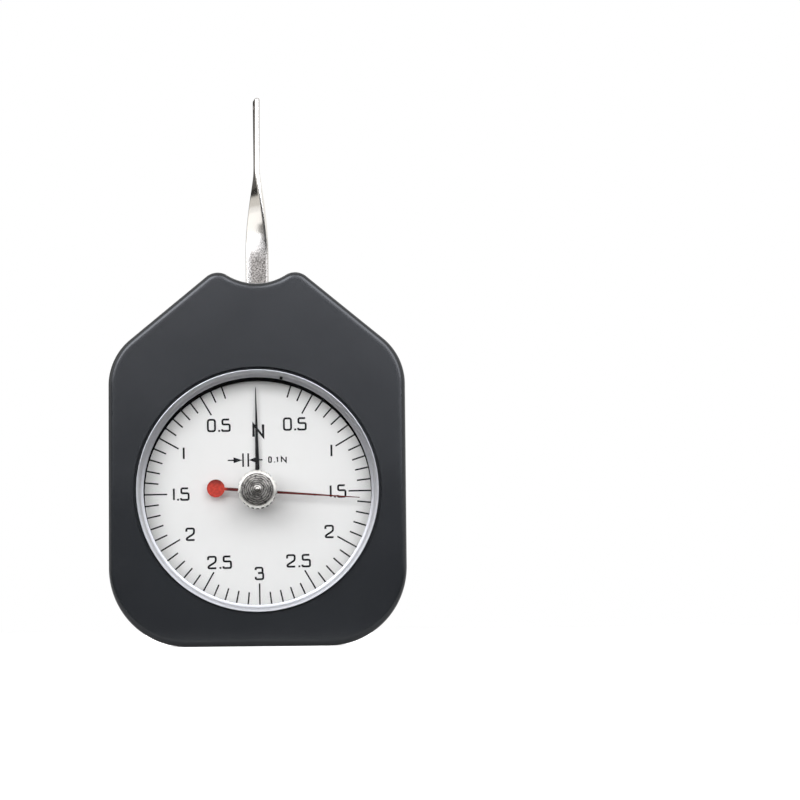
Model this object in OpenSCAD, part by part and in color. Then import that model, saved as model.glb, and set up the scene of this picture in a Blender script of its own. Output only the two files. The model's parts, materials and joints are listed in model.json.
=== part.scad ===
// Dial tension gauge: a sprung feeler lever swings in a two-shell moulded case
// and turns a pointer over a round dial through a toothed sector and a pinion.
// A second, red hand is dragged along to the highest reading and is set back by a knob.
// Frame: +Z runs up along the lever, the dial faces -Y, +X is to the reader's right.
// The origin is the middle of the flat base, in the plane where the two shells part.

/* [Case] */
// Width of the case across its side walls
case_w = 62.8; // [60:0.2:74]
// Height of the case from the base to the tips of the two horns
case_h = 78.9; // [71:0.1:90]
// Depth of the front housing, from the parting plane to the front face
front_depth = 15.5; // [15:0.25:20]
// Depth of the rear cover, from the parting plane to the back
rear_depth = 9.5; // [9.4:0.1:14]
// Thickness of the moulded side walls
wall = 2; // [1.4:0.1:2.4]
// Thickness of the front and back walls
face_wall = 2; // [1.4:0.1:2.1]
// Radius of the two lower corners
base_corner_r = 16.7; // [8:0.1:18]
// Radius of the two shoulder corners
shoulder_r = 12.7; // [7:0.1:14]
// Slope of the shoulders, in degrees from level
shoulder_slope = 39.4; // [36:0.2:42]
// Distance of each horn's tip from the centre line
horn_x = 8.15; // [7.6:0.05:9.5]
// Rounding of the horns
horn_r = 4; // [2.4:0.1:4.4]
// Depth of the dip between the horns
dip_depth = 2.3; // [1.5:0.1:2.6]
// Rounding of the front and rear edges of the case
edge_r = 1.2; // [0.6:0.1:1.6]
// Amount by which each shell narrows from the parting plane to its face
draft = 0.35; // [0.1:0.05:0.7]

/* [Grip ribs] */
// Distance from the parting plane to the front end of the ribs
grip_w = 9.4; // [6:0.2:12]
// Height of the lowest rib's lower edge above the base
grip_z = 11; // [8:0.5:16]
// Distance from one rib to the next
rib_pitch = 1.31; // [1:0.01:2]
// Number of ribs on each side
rib_count = 28; // [10:1:30]
// Depth of the grooves between the ribs
rib_depth = 0.5; // [0.2:0.05:0.8]
// Height of the rib crests beyond the side wall, below zero when they lie back from it
rib_proud = -0.05; // [-0.1:0.05:0.3]

/* [Dial window] */
// Height of the dial's centre above the base
dial_z = 32.6; // [31:0.1:34]
// Width of the case rim beside the opening in the front face
rim_w = 5.4; // [4.6:0.1:8]
// Width of the groove between the opening and the bezel ring
groove_w = 0.55; // [0.2:0.05:0.8]
// Depth of that groove
groove_depth = 1.2; // [0.5:0.1:1.6]
// Width of the bezel ring
ring_w = 1.5; // [1:0.1:2.2]
// Thickness of the bezel ring, from its front edge to the lens
ring_t = 1.8; // [1.4:0.1:2.2]
// Thickness of the lens
lens_t = 1.5; // [1:0.1:1.8]
// Clear depth between the lens and the dial
well_depth = 3.5; // [3.2:0.1:4]
// Thickness of the dial plate
dial_t = 0.6; // [0.3:0.1:1]

/* [Lever] */
// Reach of the lever above the tips of the horns
lever_reach = 39.2; // [36:0.2:60]
// Width of the lever strip in the case and up to the twist
lever_w = 4.9; // [3.5:0.1:5.4]
// Width of the lever strip at its tip
lever_tip_w = 4; // [3:0.1:5]
// Thickness of the lever strip
lever_t = 1.1; // [0.8:0.05:1.2]
// Distance of the lever's middle plane in front of the parting plane
lever_set = 0.85; // [0.8:0.05:1.2]
// Height above the horns at which the quarter twist starts
twist_start = 5.8; // [4:0.2:12]
// Length of the quarter twist
twist_len = 17; // [12:0.5:18]
// Diameter of the eye at the tip
eye_d = 1.8; // [1.2:0.1:2.4]
// Distance from the tip to the middle of the eye
eye_inset = 1.6; // [1.5:0.1:3]
// Swing of the lever to each side, in degrees
lever_swing = 15; // [8:0.5:16]

/* [Gearing] */
// Distance of the lever's pivot below the tips of the horns
pivot_drop = 19; // [18.3:0.1:20]
// Teeth on the pinion
pinion_teeth = 12; // [10:1:14]
// Turns of the pinion for one turn of the lever
gear_ratio = 12; // [11:1:13]
// Thickness of the sector plate
sector_t = 1.2; // [0.8:0.1:1.5]
// Length of the pinion
pinion_len = 2; // [1.6:0.1:2.6]

/* [Movement] */
// Thickness of the front movement plate
front_plate_t = 1.4; // [1:0.1:1.8]
// Thickness of the rear movement plate
rear_plate_t = 1.4; // [1:0.1:1.5]
// Radius of the pillars between the plates
pillar_r = 2; // [1.6:0.1:2.4]
// Radius of the lever arbor
lever_arbor_r = 1.5; // [1.3:0.1:1.8]
// Radius of the pointer arbor
pointer_arbor_r = 1; // [0.9:0.05:1.15]
// Radius of all pivots
pivot_r = 0.75; // [0.6:0.05:0.8]
// Radius of the flanges that carry the lever
hub_r = 6; // [5.5:0.1:6.5]
// Thickness of the hub flange behind the lever
hub_t = 1.2; // [0.8:0.1:1.4]
// Width of the spiral spring's strip
spring_w = 2.4; // [1.6:0.1:2.5]
// Thickness of the spiral spring's strip
spring_t = 0.4; // [0.25:0.05:0.5]
// Turns of the spiral spring
spring_turns = 4; // [3:1:4]
// Gap between neighbouring turns of the spiral spring
spring_gap = 0.7; // [0.5:0.05:0.75]

/* [Hands and knob] */
// Distance from the pointer's tip to the bezel ring
pointer_tip_gap = 1.9; // [1:0.1:6]
// Width of the pointer at its hub
pointer_w = 1.1; // [0.6:0.05:1.2]
// Distance from the drag hand's tip to the bezel ring
drag_tip_gap = 2.4; // [1:0.1:6]
// Width of the drag hand at its hub
drag_w = 0.65; // [0.3:0.05:0.8]
// Length of the drag hand's tail, from the axis to the middle of its counterweight disc
drag_tail_len = 8.86; // [7:0.1:10]
// Radius of the drag hand's counterweight disc
drag_disc_r = 1.88; // [1.5:0.05:2.5]
// Thickness of both hands
hand_t = 0.3; // [0.2:0.05:0.4]
// Angle of the pointer at rest, clockwise from the top
pointer_rest = -1; // [-3:0.5:3]
// Angle of the drag hand at rest, clockwise from the top
drag_rest = 94; // [60:0.2:120]
// Radius of the reset knob
knob_r = 4; // [3.2:0.1:5]
// Reach of the reset knob in front of the case
knob_out = 5.5; // [4:0.1:8]
// Radius of the reset shaft
reset_shaft_r = 1; // [0.8:0.05:1.2]

/* [Fits and fasteners] */
// Radial clearance of a pivot or shaft that turns in its bore
running_gap = 0.04; // [0.02:0.01:0.08]
// Radial clearance between pieces that are pressed or screwed together
seat_gap = 0.02; // [0.01:0.01:0.04]
// Clearance between moving pieces that pass each other
pass_gap = 0.4; // [0.3:0.05:0.5]
// Radius of the case screws
case_screw_r = 1.2; // [1:0.05:1.4]
// Length of thread that each case screw has in the front housing
case_screw_grip = 8; // [5:0.5:10]
// Radius of the movement and pillar screws
plate_screw_r = 0.8; // [0.7:0.05:1]
// Radius of the two screws that hold the lever to its hub
lever_screw_r = 0.7; // [0.6:0.05:0.8]

/* [Hidden] */
$fn = 64;

// Small overshoot that keeps cutting tools clear of the faces they cut
cut = 0.5;

// Shares of the rib pitch that are crest and bevel, and of a screw head that its cross takes
crest_share = 0.5;
bevel_share = 0.14;
cross_w_share = 0.28;
cross_len_share = 1.3;

// Case outline: arcs joined by tangent lines
slope_normal = 90 - shoulder_slope;
horn_c = [horn_x, case_h - horn_r];
slope_reach = horn_c[0] * cos(slope_normal) + horn_c[1] * sin(slope_normal) + horn_r;
base_c = [case_w / 2 - base_corner_r, base_corner_r];
shoulder_cx = case_w / 2 - shoulder_r;
shoulder_cz = (slope_reach - shoulder_r - shoulder_cx * cos(slope_normal)) / sin(slope_normal);
shoulder_c = [shoulder_cx, shoulder_cz];
dip_r = (horn_x * horn_x / dip_depth + dip_depth) / 2 - horn_r;
dip_c = [0, case_h - dip_depth + dip_r];
horn_end = atan2(dip_c[1] - horn_c[1], -horn_c[0]);
base_steps = 10;
shoulder_steps = 7;
horn_steps = 6;
dip_steps = 10;
edge_steps = 4;

// Depth positions, front to back
y_face = -front_depth;
y_back = rear_depth;
ring_recess = 0.1;
y_ring = y_face + ring_recess;
y_lens = y_ring + ring_t;
y_well = y_lens + lens_t;
y_dial = y_well + well_depth;
y_front_plate = y_dial + dial_t;
y_movement = y_front_plate + front_plate_t;
y_lever_front = -lever_set - lever_t / 2;
y_lever_back = -lever_set + lever_t / 2;
y_sector = y_lever_front - sector_t;
y_hub = y_lever_back + hub_t;
spring_clear = 0.6;
y_spring = y_hub + spring_clear;
y_rear_plate = y_spring + spring_w + spring_clear;
y_rear_end = y_rear_plate + rear_plate_t;

// Lever heights
tip_z = case_h + lever_reach;
twist_z = case_h + twist_start;
twist_share = twist_len / (lever_reach - twist_start);
twist_top_w = lever_w + (lever_tip_w - lever_w) * twist_share;

// Dial window radii
well_step = 0.3;
dial_rim = 1.4;
collar_wall = 1.5;
ring_bevel = 1.1;
ring_land = 0.25;
window_r = case_w / 2 - rim_w;
seat_r = window_r - groove_w;
ring_outer_r = seat_r - seat_gap * 2;
ring_inner_r = ring_outer_r - ring_w;
well_r = ring_inner_r + well_step;
lens_r = seat_r - seat_gap * 4;
dial_r = well_r + dial_rim;
collar_r = seat_r + collar_wall;
pointer_len = ring_inner_r - pointer_tip_gap;
drag_len = ring_inner_r - drag_tip_gap;

// Gear geometry: the distance between the two axes gives the size of the teeth
pivot_z = case_h - pivot_drop;
pinion_pitch_r = (pivot_z - dial_z) / (1 + gear_ratio);
sector_pitch_r = pinion_pitch_r * gear_ratio;
sector_teeth = pinion_teeth * gear_ratio;
tooth_module = pinion_pitch_r * 2 / pinion_teeth;
pressure_angle = 20;
backlash = 0.1;
sector_spare = 4;
sector_half = lever_swing + sector_spare;
sector_addendum = 0.65;
sector_dedendum = 1.3;
sector_hole_at = 0.62;
sector_hole_share = 0.12;
sector_end_share = 0.8;

// Locating lip of the rear cover
lip_reach = 1.2;
lip_t = 1;
lip_play = 0.1;
lip_bite = 0.5;
lip_root = 3;

// Case screw and movement screw places
case_boss_r = 3;
case_boss_inset = 6.6;
low_boss_side = 9;
low_boss_z = 9.5;
high_boss_side = 11;
head_overhang = 1;
case_head_t = 1.4;
case_head_recess = 0.2;
low_boss = [case_w / 2 - low_boss_side, low_boss_z];
high_boss_x = case_w / 2 - high_boss_side;
high_boss_z = (slope_reach - case_boss_inset - high_boss_x * cos(slope_normal)) / sin(slope_normal);
case_bosses = [low_boss, [high_boss_x, high_boss_z]];
case_head_r = case_screw_r + head_overhang;
case_head_sink = case_head_t + case_head_recess;
lug_angle = 30;
lug_r = 2.6;
lug_gap = 0.3;
lug_at = dial_r + lug_r + lug_gap;
lug_places = [for (a = [lug_angle, 180 - lug_angle, 180 + lug_angle, 360 - lug_angle])
    [lug_at * cos(a), dial_z + lug_at * sin(a)]];
plate_head_out = 0.8;
plate_head_r = plate_screw_r + plate_head_out;
plate_head_t = 1;
plate_screw_grip = 4;

// Movement plate and pillar places
low_pillar_x = 15;
low_pillar_drop = 12.5;
high_pillar_x = 11;
high_pillar_rise = 1.2;
low_pillar = [low_pillar_x, dial_z - low_pillar_drop];
high_pillar = [high_pillar_x, pivot_z + high_pillar_rise];
pillar_places = [for (p = [low_pillar, high_pillar]) for (side = [-1, 1]) [side * p[0], p[1]]];
plate_margin = 3.4;
front_plate_inset = 1;
front_plate_r = dial_r - front_plate_inset;
tenon_step = 0.8;
tenon_r = pillar_r - tenon_step;
end_play = 0.1;
lever_bush_r = 2;
pointer_bush_r = 1.6;

// Lever hub and its screws
sleeve_wall = 1.1;
hub_sleeve_r = lever_arbor_r + sleeve_wall;
sleeve_out = 0.8;
lever_head_out = 0.56;
lever_head_r = lever_screw_r + lever_head_out;
lever_head_t = 0.8;
lever_head_edge = 0.5;
lever_screw_at = hub_r - lever_head_r - lever_head_edge;

// Spring, stud and stops
spring_pitch = spring_t + spring_gap;
collet_r = lever_arbor_r + sleeve_wall;
collet_gap = 0.15;
spring_r0 = collet_r + collet_gap + spring_t / 2;
spring_r1 = spring_r0 + spring_pitch * spring_turns;
spring_points_per_turn = 36;
stud_r = 1;
stud_angle = 40;
stud_out = 0.3;
stop_r = 1;
stop_clear = 0.6;
stop_gap = 0.05;
stop_at = spring_r1 + spring_t / 2 + stop_r + stop_clear;
stop_angle = lever_swing + asin((lever_w / 2 + stop_r + stop_gap) / stop_at);
rear_plate_top_r = stop_at + stop_r + stop_clear;

// Hands, bush and knob along the dial axis
bush_wall = 0.9;
bush_lip = 0.5;
bush_r = reset_shaft_r + bush_wall;
bush_flange_r = bush_r + bush_lip;
bush_flange_t = 0.6;
bush_swage_t = 0.25;
washer_t = 0.3;
y_bush = y_lens - bush_flange_t;
y_washer = y_bush - washer_t;
y_knob = y_face - knob_out;
knob_chamfer = 0.5;
knob_nub = 0.3;
knob_bore = 4;
knurl_count = 24;
knurl_r = 0.28;
collet_wall = 0.6;
hand_lead = 0.25;
drag_collet_r = reset_shaft_r + collet_wall;
y_drag_collet = y_well + bush_swage_t + end_play;
drag_collet_t = 0.8;
y_drag = y_drag_collet + hand_lead;
hub_wall = 0.8;
pointer_hub_r = pivot_r + hub_wall;
pointer_hub_t = 1;
hub_lift = 0.5;
arbor_out = 0.15;
y_pointer_hub = y_dial - pointer_hub_t - hub_lift;
y_pointer = y_pointer_hub + hand_lead;
y_arbor_tip = y_pointer_hub - arbor_out;
hand_ring = 0.7;
hand_tip_w = 0.16;
pointer_tail = 3;
push_pin_r = 0.25;
push_pin_at = 12;

// Points along an arc, in equal steps
function arc(c, r, a0, a1, n) =
    [for (i = [0:n]) let (a = a0 + (a1 - a0) * i / n) [c[0] + r * cos(a), c[1] + r * sin(a)]];

// The list read backwards with its x turned over
function mirrored(points) =
    [for (i = [len(points) - 1:-1:0]) [-points[i][0], points[i][1]]];

// Right half of the outline, drawn in by inset, from the base up to the dip
function half_outline(inset) = concat(
    arc(base_c, base_corner_r - inset, -90, 0, base_steps),
    arc(shoulder_c, shoulder_r - inset, 0, slope_normal, shoulder_steps),
    arc(horn_c, horn_r - inset, slope_normal, horn_end, horn_steps));

// Inner points of the dip, from right to left
function dip_points(inset) = let (
    all = arc(dip_c, dip_r + inset, horn_end - 180, -horn_end, dip_steps))
    [for (i = [1:dip_steps - 1]) all[i]];

function outline(inset) = concat(
    half_outline(inset), dip_points(inset), mirrored(half_outline(inset)));

// Outline of the hollow: as above, with a flat top below the dip
function hollow_half(inset) = let (top = case_h - dip_depth - inset) concat(
    arc(base_c, base_corner_r - inset, -90, 0, base_steps),
    arc(shoulder_c, shoulder_r - inset, 0, slope_normal, shoulder_steps),
    [[(slope_reach - inset - top * sin(slope_normal)) / cos(slope_normal), top]]);

function hollow(inset) = concat(hollow_half(inset), mirrored(hollow_half(inset)));

// One ring of a shell at depth y: drawn in by its draft and its edge rounding.
// The draft leaves the base level, so that the case stands flat.
function shell_ring(y, narrow, round_in) =
    [for (p = outline(narrow + round_in)) [p[0], y, p[1] - narrow * (1 - p[1] / case_h)]];

// Rings of a shell from the parting plane to its face, with a quarter-round edge
function shell_rings(depth, side) = let (straight = depth - edge_r) concat(
    [shell_ring(0, 0, 0)],
    [for (i = [0:edge_steps]) let (a = 90 * i / edge_steps)
        shell_ring(side * (straight + edge_r * sin(a)), draft, edge_r * (1 - cos(a)))]);

// Solid through a list of rings that run from front to back
module loft(rings) {
    n = len(rings[0]);
    last = len(rings) - 1;
    sides = [for (k = [0:last - 1]) for (j = [0:n - 1]) let (
            a = k * n + j, b = k * n + (j + 1) % n)
        each [[a, b, b + n], [a, b + n, a + n]]];
    front = [for (j = [n - 1:-1:0]) j];
    back = [for (j = [0:n - 1]) last * n + j];
    polyhedron(points = [for (ring = rings) each ring], faces = concat(sides, [front], [back]));
}

// A flat shape in x and z, made solid from depth y0 to y1
module slab(y0, y1) {
    translate([0, y1, 0]) rotate([90, 0, 0]) linear_extrude(y1 - y0) children();
}

// A round bar along y at the place p = [x, z]
module rod(r, y0, y1, p) {
    translate([p[0], y0, p[1]]) rotate([-90, 0, 0]) cylinder(r = r, h = y1 - y0);
}

// A turned shape about y at the place p, from points [radius, y]
module turned(p, points) {
    translate([p[0], 0, p[1]]) rotate([-90, 0, 0]) rotate_extrude() polygon(points);
}

// A tube along y at the place p
module tube(r_out, r_in, y0, y1, p) {
    turned(p, [[r_in, y0], [r_out, y0], [r_out, y1], [r_in, y1]]);
}

// Children at each place and at its mirror image
module both_sides(places) {
    for (p = places) for (side = [-1, 1]) translate([side * p[0], 0, p[1]]) children();
}

axis_p = [0, dial_z];
pivot_p = [0, pivot_z];

// Half width of the slot that the lever swings in, at height z
function slot_half(z) =
    tan(lever_swing) * (z - pivot_z) + lever_w / 2 / cos(lever_swing) + pass_gap;

// Half width of the case at height z, with the round of the lower corner
function side_x(z) = z >= base_corner_r ? case_w / 2
    : case_w / 2 - base_corner_r + sqrt(pow(base_corner_r, 2) - pow(base_corner_r - z, 2));

// A point of the grip at height z: on a crest when deep is 0, in a groove when it is 1
function grip_point(z, deep) = [side_x(z) + rib_proud - deep * rib_depth, z];

// Heights of one rib, from the groove below it to the groove above it, and how deep each lies
rib_crest = rib_pitch * crest_share;
rib_bevel = rib_pitch * bevel_share;
rib_steps = [
    [0, 1], [rib_bevel, 1], [rib_bevel * 2, 0],
    [rib_bevel * 2 + rib_crest, 0], [rib_bevel * 3 + rib_crest, 1]];
grip_top = grip_z + rib_count * rib_pitch;

// Side profile of the ribs: flat crests with bevelled grooves between them
module rib_profile() {
    inner_x = side_x(grip_z) - wall / 2;
    polygon(concat(
        [[inner_x, grip_z]],
        [for (i = [0:rib_count - 1]) for (step = rib_steps)
            grip_point(grip_z + i * rib_pitch + step[0], step[1])],
        [grip_point(grip_top, 1), [inner_x, grip_top]]));
}

// Side profile of the recess that the ribs stand in
module grip_recess() {
    polygon(concat(
        [[case_w, grip_z]],
        [for (i = [0:rib_count - 1]) for (step = rib_steps)
            grip_point(grip_z + i * rib_pitch + step[0], 1)],
        [grip_point(grip_top, 1), [case_w, grip_top]]));
}

module ribs() {
    for (side = [0, 1]) mirror([side, 0, 0]) slab(-grip_w, 0) rib_profile();
}

module lever_slot() {
    low = case_h - dip_depth - wall * 2;
    high = case_h + cut;
    slab(y_lever_front - pass_gap, cut)
        polygon([
            [-slot_half(low), low], [slot_half(low), low],
            [slot_half(high), high], [-slot_half(high), high]]);
}

module front_housing() {
    rings = shell_rings(front_depth, -1);
    color("#3f4347") difference() {
        union() {
            difference() {
                union() {
                    difference() {
                        loft([for (i = [len(rings) - 1:-1:0]) rings[i]]);
                        for (side = [0, 1]) mirror([side, 0, 0]) slab(-grip_w, cut) grip_recess();
                    }
                    ribs();
                }
                slab(y_face + face_wall, cut) polygon(hollow(wall));
            }
            rod(collar_r, y_face + face_wall / 2, y_dial, axis_p);
            both_sides(case_bosses) rod(case_boss_r, y_face + face_wall / 2, 0, [0, 0]);
            for (p = lug_places) rod(lug_r, y_face + face_wall / 2, y_front_plate, p);
        }
        rod(window_r, y_face - cut, y_face + groove_depth, axis_p);
        rod(seat_r, y_face, y_well, axis_p);
        rod(well_r, y_face, y_dial + cut, axis_p);
        rod(dial_r + pass_gap / 2, y_dial, cut, axis_p);
        both_sides(case_bosses) rod(case_screw_r + seat_gap, -case_screw_grip - cut, cut, [0, 0]);
        for (p = lug_places)
            rod(plate_screw_r + seat_gap, y_front_plate - plate_screw_grip, y_front_plate + cut, p);
        lever_slot();
    }
}

// A band that follows the case outline between two insets
module band(outer, inner) {
    difference() {
        polygon(hollow(outer));
        polygon(hollow(inner));
    }
}

// The rear cover's rim reaches into the front housing and keeps the two in line
module locating_lip() {
    inner = wall + lip_play + lip_t;
    notch = slot_half(case_h) + lip_t;
    slab(0, lip_root) band(wall - lip_bite, inner);
    difference() {
        slab(-lip_reach, lip_root / 2) band(wall + lip_play, inner);
        translate([-notch, -lip_reach - cut, pivot_z]) cube([notch * 2, lip_reach + cut, case_h]);
    }
}

module rear_cover() {
    inner_y = y_back - face_wall;
    color("#383b3f") difference() {
        union() {
            difference() {
                loft(shell_rings(rear_depth, 1));
                slab(-cut, inner_y) polygon(hollow(wall));
            }
            locating_lip();
            both_sides(case_bosses) rod(case_boss_r, 0, inner_y + cut, [0, 0]);
        }
        both_sides(case_bosses) {
            rod(case_screw_r + running_gap * 2, -cut, y_back, [0, 0]);
            rod(case_head_r + pass_gap / 2, y_back - case_head_sink, y_back + cut, [0, 0]);
        }
    }
}

// Pan-head screw along y: the thread points to -y and the head ends at y_head
module screw(r, head_r, head_t, y_tip, y_head) {
    difference() {
        union() {
            rod(r, y_tip, y_head - head_t, [0, 0]);
            rod(head_r, y_head - head_t, y_head, [0, 0]);
        }
        for (a = [0, 90]) translate([0, y_head, 0]) rotate([0, a, 0])
            cube([head_r * cross_len_share, head_t, head_r * cross_w_share], center = true);
    }
}

module case_screws() {
    y_head = y_back - case_head_sink + case_head_t;
    color("#9a9a98") both_sides(case_bosses)
        screw(case_screw_r, case_head_r, case_head_t, -case_screw_grip, y_head);
}

module lens_ring() {
    color("#b9b9bb") turned(axis_p, [
        [ring_inner_r, y_lens], [ring_outer_r, y_lens], [ring_outer_r, y_ring + ring_land],
        [ring_outer_r - ring_land, y_ring], [ring_inner_r + ring_land, y_ring + ring_bevel],
        [ring_inner_r, y_ring + ring_bevel]]);
}

module lens() {
    color("#e8f0f2", 0.25) tube(lens_r, bush_r + seat_gap, y_lens, y_well, axis_p);
}

module lens_bush() {
    bore = reset_shaft_r + running_gap;
    y_end = y_well + bush_swage_t;
    color("#b08d4a") turned(axis_p, [
        [bore, y_bush], [bush_flange_r, y_bush], [bush_flange_r, y_lens], [bush_r, y_lens],
        [bush_r, y_well], [bush_flange_r, y_well], [bush_flange_r, y_end], [bore, y_end]]);
}

module friction_washer() {
    color("#8d8f92") tube(bush_flange_r, reset_shaft_r + running_gap * 2, y_washer, y_bush, axis_p);
}

module reset_knob() {
    color("#c4c2bd") difference() {
        turned(axis_p, [
            [0, y_knob - knob_nub], [knob_nub, y_knob - knob_nub], [knob_nub * 2, y_knob],
            [knob_r - knob_chamfer, y_knob],
            [knob_r, y_knob + knob_chamfer], [knob_r, y_washer - knob_chamfer],
            [knob_r - knob_chamfer, y_washer], [0, y_washer]]);
        rod(reset_shaft_r + seat_gap, y_washer - knob_bore, y_washer + cut, axis_p);
        for (i = [0:knurl_count - 1]) let (a = 360 * i / knurl_count)
            rod(knurl_r, y_knob - cut, y_washer + cut,
                [axis_p[0] + knob_r * sin(a), axis_p[1] + knob_r * cos(a)], $fn = 16);
    }
}

module reset_shaft() {
    color("#b9b9bb") rod(reset_shaft_r, y_washer - knob_bore, y_drag_collet + drag_collet_t, axis_p);
}

module drag_collet() {
    color("#b08d4a")
        tube(drag_collet_r, reset_shaft_r + seat_gap, y_drag_collet, y_drag_collet + drag_collet_t, axis_p);
}

// Turn about the dial axis by an angle, clockwise as the reader sees it
module about_axis(angle) {
    translate([0, 0, dial_z]) rotate([0, angle, 0]) children();
}

// Flat outline of a hand that points up: a ring at the hub and a tapered blade
module hand_blade(length, w, hub) {
    circle(r = hub + hand_ring);
    polygon([[-w / 2, 0], [w / 2, 0], [hand_tip_w / 2, length], [-hand_tip_w / 2, length]]);
}

module drag_pointer() {
    color("#b14435") about_axis(drag_rest) union() {
        slab(y_drag, y_drag + hand_t) difference() {
            union() {
                hand_blade(drag_len, drag_w, drag_collet_r);
                translate([-drag_w / 2, -drag_tail_len]) square([drag_w, drag_tail_len]);
                translate([0, -drag_tail_len]) circle(r = drag_disc_r);
            }
            circle(r = drag_collet_r + seat_gap);
        }
        rod(push_pin_r, y_drag + hand_t / 2, y_pointer - pass_gap, [0, push_pin_at]);
    }
}

module dial_plate() {
    color("#ebebea") tube(dial_r, pointer_hub_r, y_dial, y_front_plate, axis_p);
}

module pointer() {
    color("#141414") about_axis(pointer_rest) slab(y_pointer, y_pointer + hand_t) difference() {
        union() {
            hand_blade(pointer_len, pointer_w, pointer_hub_r);
            translate([-pointer_w / 2, -pointer_tail]) square([pointer_w, pointer_tail]);
        }
        circle(r = pointer_hub_r + seat_gap);
    }
}

module pointer_hub() {
    color("#b08d4a")
        tube(pointer_hub_r, pivot_r + seat_gap, y_pointer_hub, y_pointer_hub + pointer_hub_t, axis_p);
}

// Arbor with a pivot at each end, from the depth y0 to y1, at the place p
module arbor(r, y0, y1, p) {
    shoulder_y0 = y_movement + end_play;
    shoulder_y1 = y_rear_plate - end_play;
    turned(p, [
        [0, y0], [pivot_r, y0], [pivot_r, shoulder_y0], [r, shoulder_y0],
        [r, shoulder_y1], [pivot_r, shoulder_y1], [pivot_r, y1], [0, y1]]);
}

module pointer_arbor() {
    color("#a9abae") arbor(pointer_arbor_r, y_arbor_tip, y_rear_end, axis_p);
}

module lever_arbor() {
    color("#a9abae") arbor(lever_arbor_r, y_front_plate, y_rear_end, pivot_p);
}

// Bushes for one arbor in both plates
module bush_pair(r, p) {
    tube(r, pivot_r + running_gap, y_front_plate, y_movement, p);
    tube(r, pivot_r + running_gap, y_rear_plate, y_rear_end, p);
}

module pointer_bushes() {
    color("#c09a4e") bush_pair(pointer_bush_r, axis_p);
}

module lever_bushes() {
    color("#c09a4e") bush_pair(lever_bush_r, pivot_p);
}

// Tapered outline through the four pillars
module plate_outline() {
    low_x = low_pillar[0] + plate_margin;
    high_x = high_pillar[0] + plate_margin;
    low_z = low_pillar[1] - plate_margin;
    high_z = high_pillar[1] + plate_margin;
    polygon([[-low_x, low_z], [low_x, low_z], [high_x, high_z], [-high_x, high_z]]);
}

// Bores for both pairs of bushes
module bush_holes() {
    translate(axis_p) circle(r = pointer_bush_r + seat_gap);
    translate(pivot_p) circle(r = lever_bush_r + seat_gap);
}

module front_plate() {
    color("#b7a06a") slab(y_front_plate, y_movement) difference() {
        union() {
            plate_outline();
            translate(axis_p) circle(r = front_plate_r);
            for (p = lug_places) {
                translate(p) circle(r = lug_r);
                translate([p[0] / 2, p[1]]) square([abs(p[0]), lug_r * 2], center = true);
            }
        }
        bush_holes();
        for (p = pillar_places) translate(p) circle(r = tenon_r + seat_gap);
        for (p = lug_places) translate(p) circle(r = plate_screw_r + running_gap);
    }
}

module rear_plate() {
    color("#b7a06a") slab(y_rear_plate, y_rear_end) difference() {
        union() {
            plate_outline();
            translate(pivot_p) circle(r = rear_plate_top_r);
        }
        bush_holes();
        for (p = pillar_places) translate(p) circle(r = plate_screw_r + running_gap);
    }
}

module plate_pillars() {
    color("#b08d4a") for (p = pillar_places) difference() {
        union() {
            rod(pillar_r, y_movement, y_rear_plate, p);
            rod(tenon_r, y_front_plate, y_movement, p);
        }
        rod(plate_screw_r + seat_gap, y_rear_plate - plate_screw_grip, y_rear_plate + cut, p);
    }
}

module plate_screws() {
    color("#9a9a98") for (p = pillar_places) translate([p[0], 0, p[1]])
        screw(plate_screw_r, plate_head_r, plate_head_t,
            y_rear_plate - plate_screw_grip + cut, y_rear_end + plate_head_t);
}

module movement_screws() {
    color("#9a9a98") for (p = lug_places) translate([p[0], 0, p[1]])
        screw(plate_screw_r, plate_head_r, plate_head_t,
            y_front_plate - plate_screw_grip + cut, y_movement + plate_head_t);
}

module lever_screw_holes(r, y0, y1) {
    for (side = [-1, 1]) rod(r, y0, y1, [side * lever_screw_at, pivot_z]);
}

// Quarter twist of the strip, which narrows from its lower to its upper width
module twisted_strip() {
    translate([0, -lever_set, twist_z])
        linear_extrude(twist_len, twist = 90, slices = 20, segments = 8, scale = [twist_top_w / lever_w, 1])
            square([lever_w, lever_t], center = true);
}

// Upper flat of the strip, which faces sideways and narrows to the tip
module upper_strip() {
    z0 = twist_z + twist_len;
    translate([-lever_t / 2, -lever_set, 0]) rotate([90, 0, 90]) linear_extrude(lever_t)
        polygon([
            [-twist_top_w / 2, z0], [twist_top_w / 2, z0],
            [lever_tip_w / 2, tip_z], [-lever_tip_w / 2, tip_z]]);
}

module feeler_lever() {
    color("#c6c3be") difference() {
        union() {
            rod(hub_r, y_lever_front, y_lever_back, pivot_p);
            translate([-lever_w / 2, y_lever_front, pivot_z]) cube([lever_w, lever_t, twist_z - pivot_z]);
            twisted_strip();
            upper_strip();
        }
        rod(hub_sleeve_r + seat_gap, y_lever_front - cut, y_lever_back + cut, pivot_p);
        lever_screw_holes(lever_screw_r + running_gap, y_lever_front - cut, y_lever_back + cut);
        translate([-lever_t, -lever_set, tip_z - eye_inset]) rotate([0, 90, 0])
            cylinder(r = eye_d / 2, h = lever_t * 2);
    }
}

module lever_hub() {
    y_sleeve = y_sector - sleeve_out;
    bore = lever_arbor_r + seat_gap;
    color("#b08d4a") difference() {
        turned(pivot_p, [
            [bore, y_sleeve], [hub_sleeve_r, y_sleeve], [hub_sleeve_r, y_lever_back], [hub_r, y_lever_back],
            [hub_r, y_hub], [bore, y_hub]]);
        lever_screw_holes(lever_screw_r + seat_gap, y_lever_back - cut, y_hub + cut);
    }
}

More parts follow.
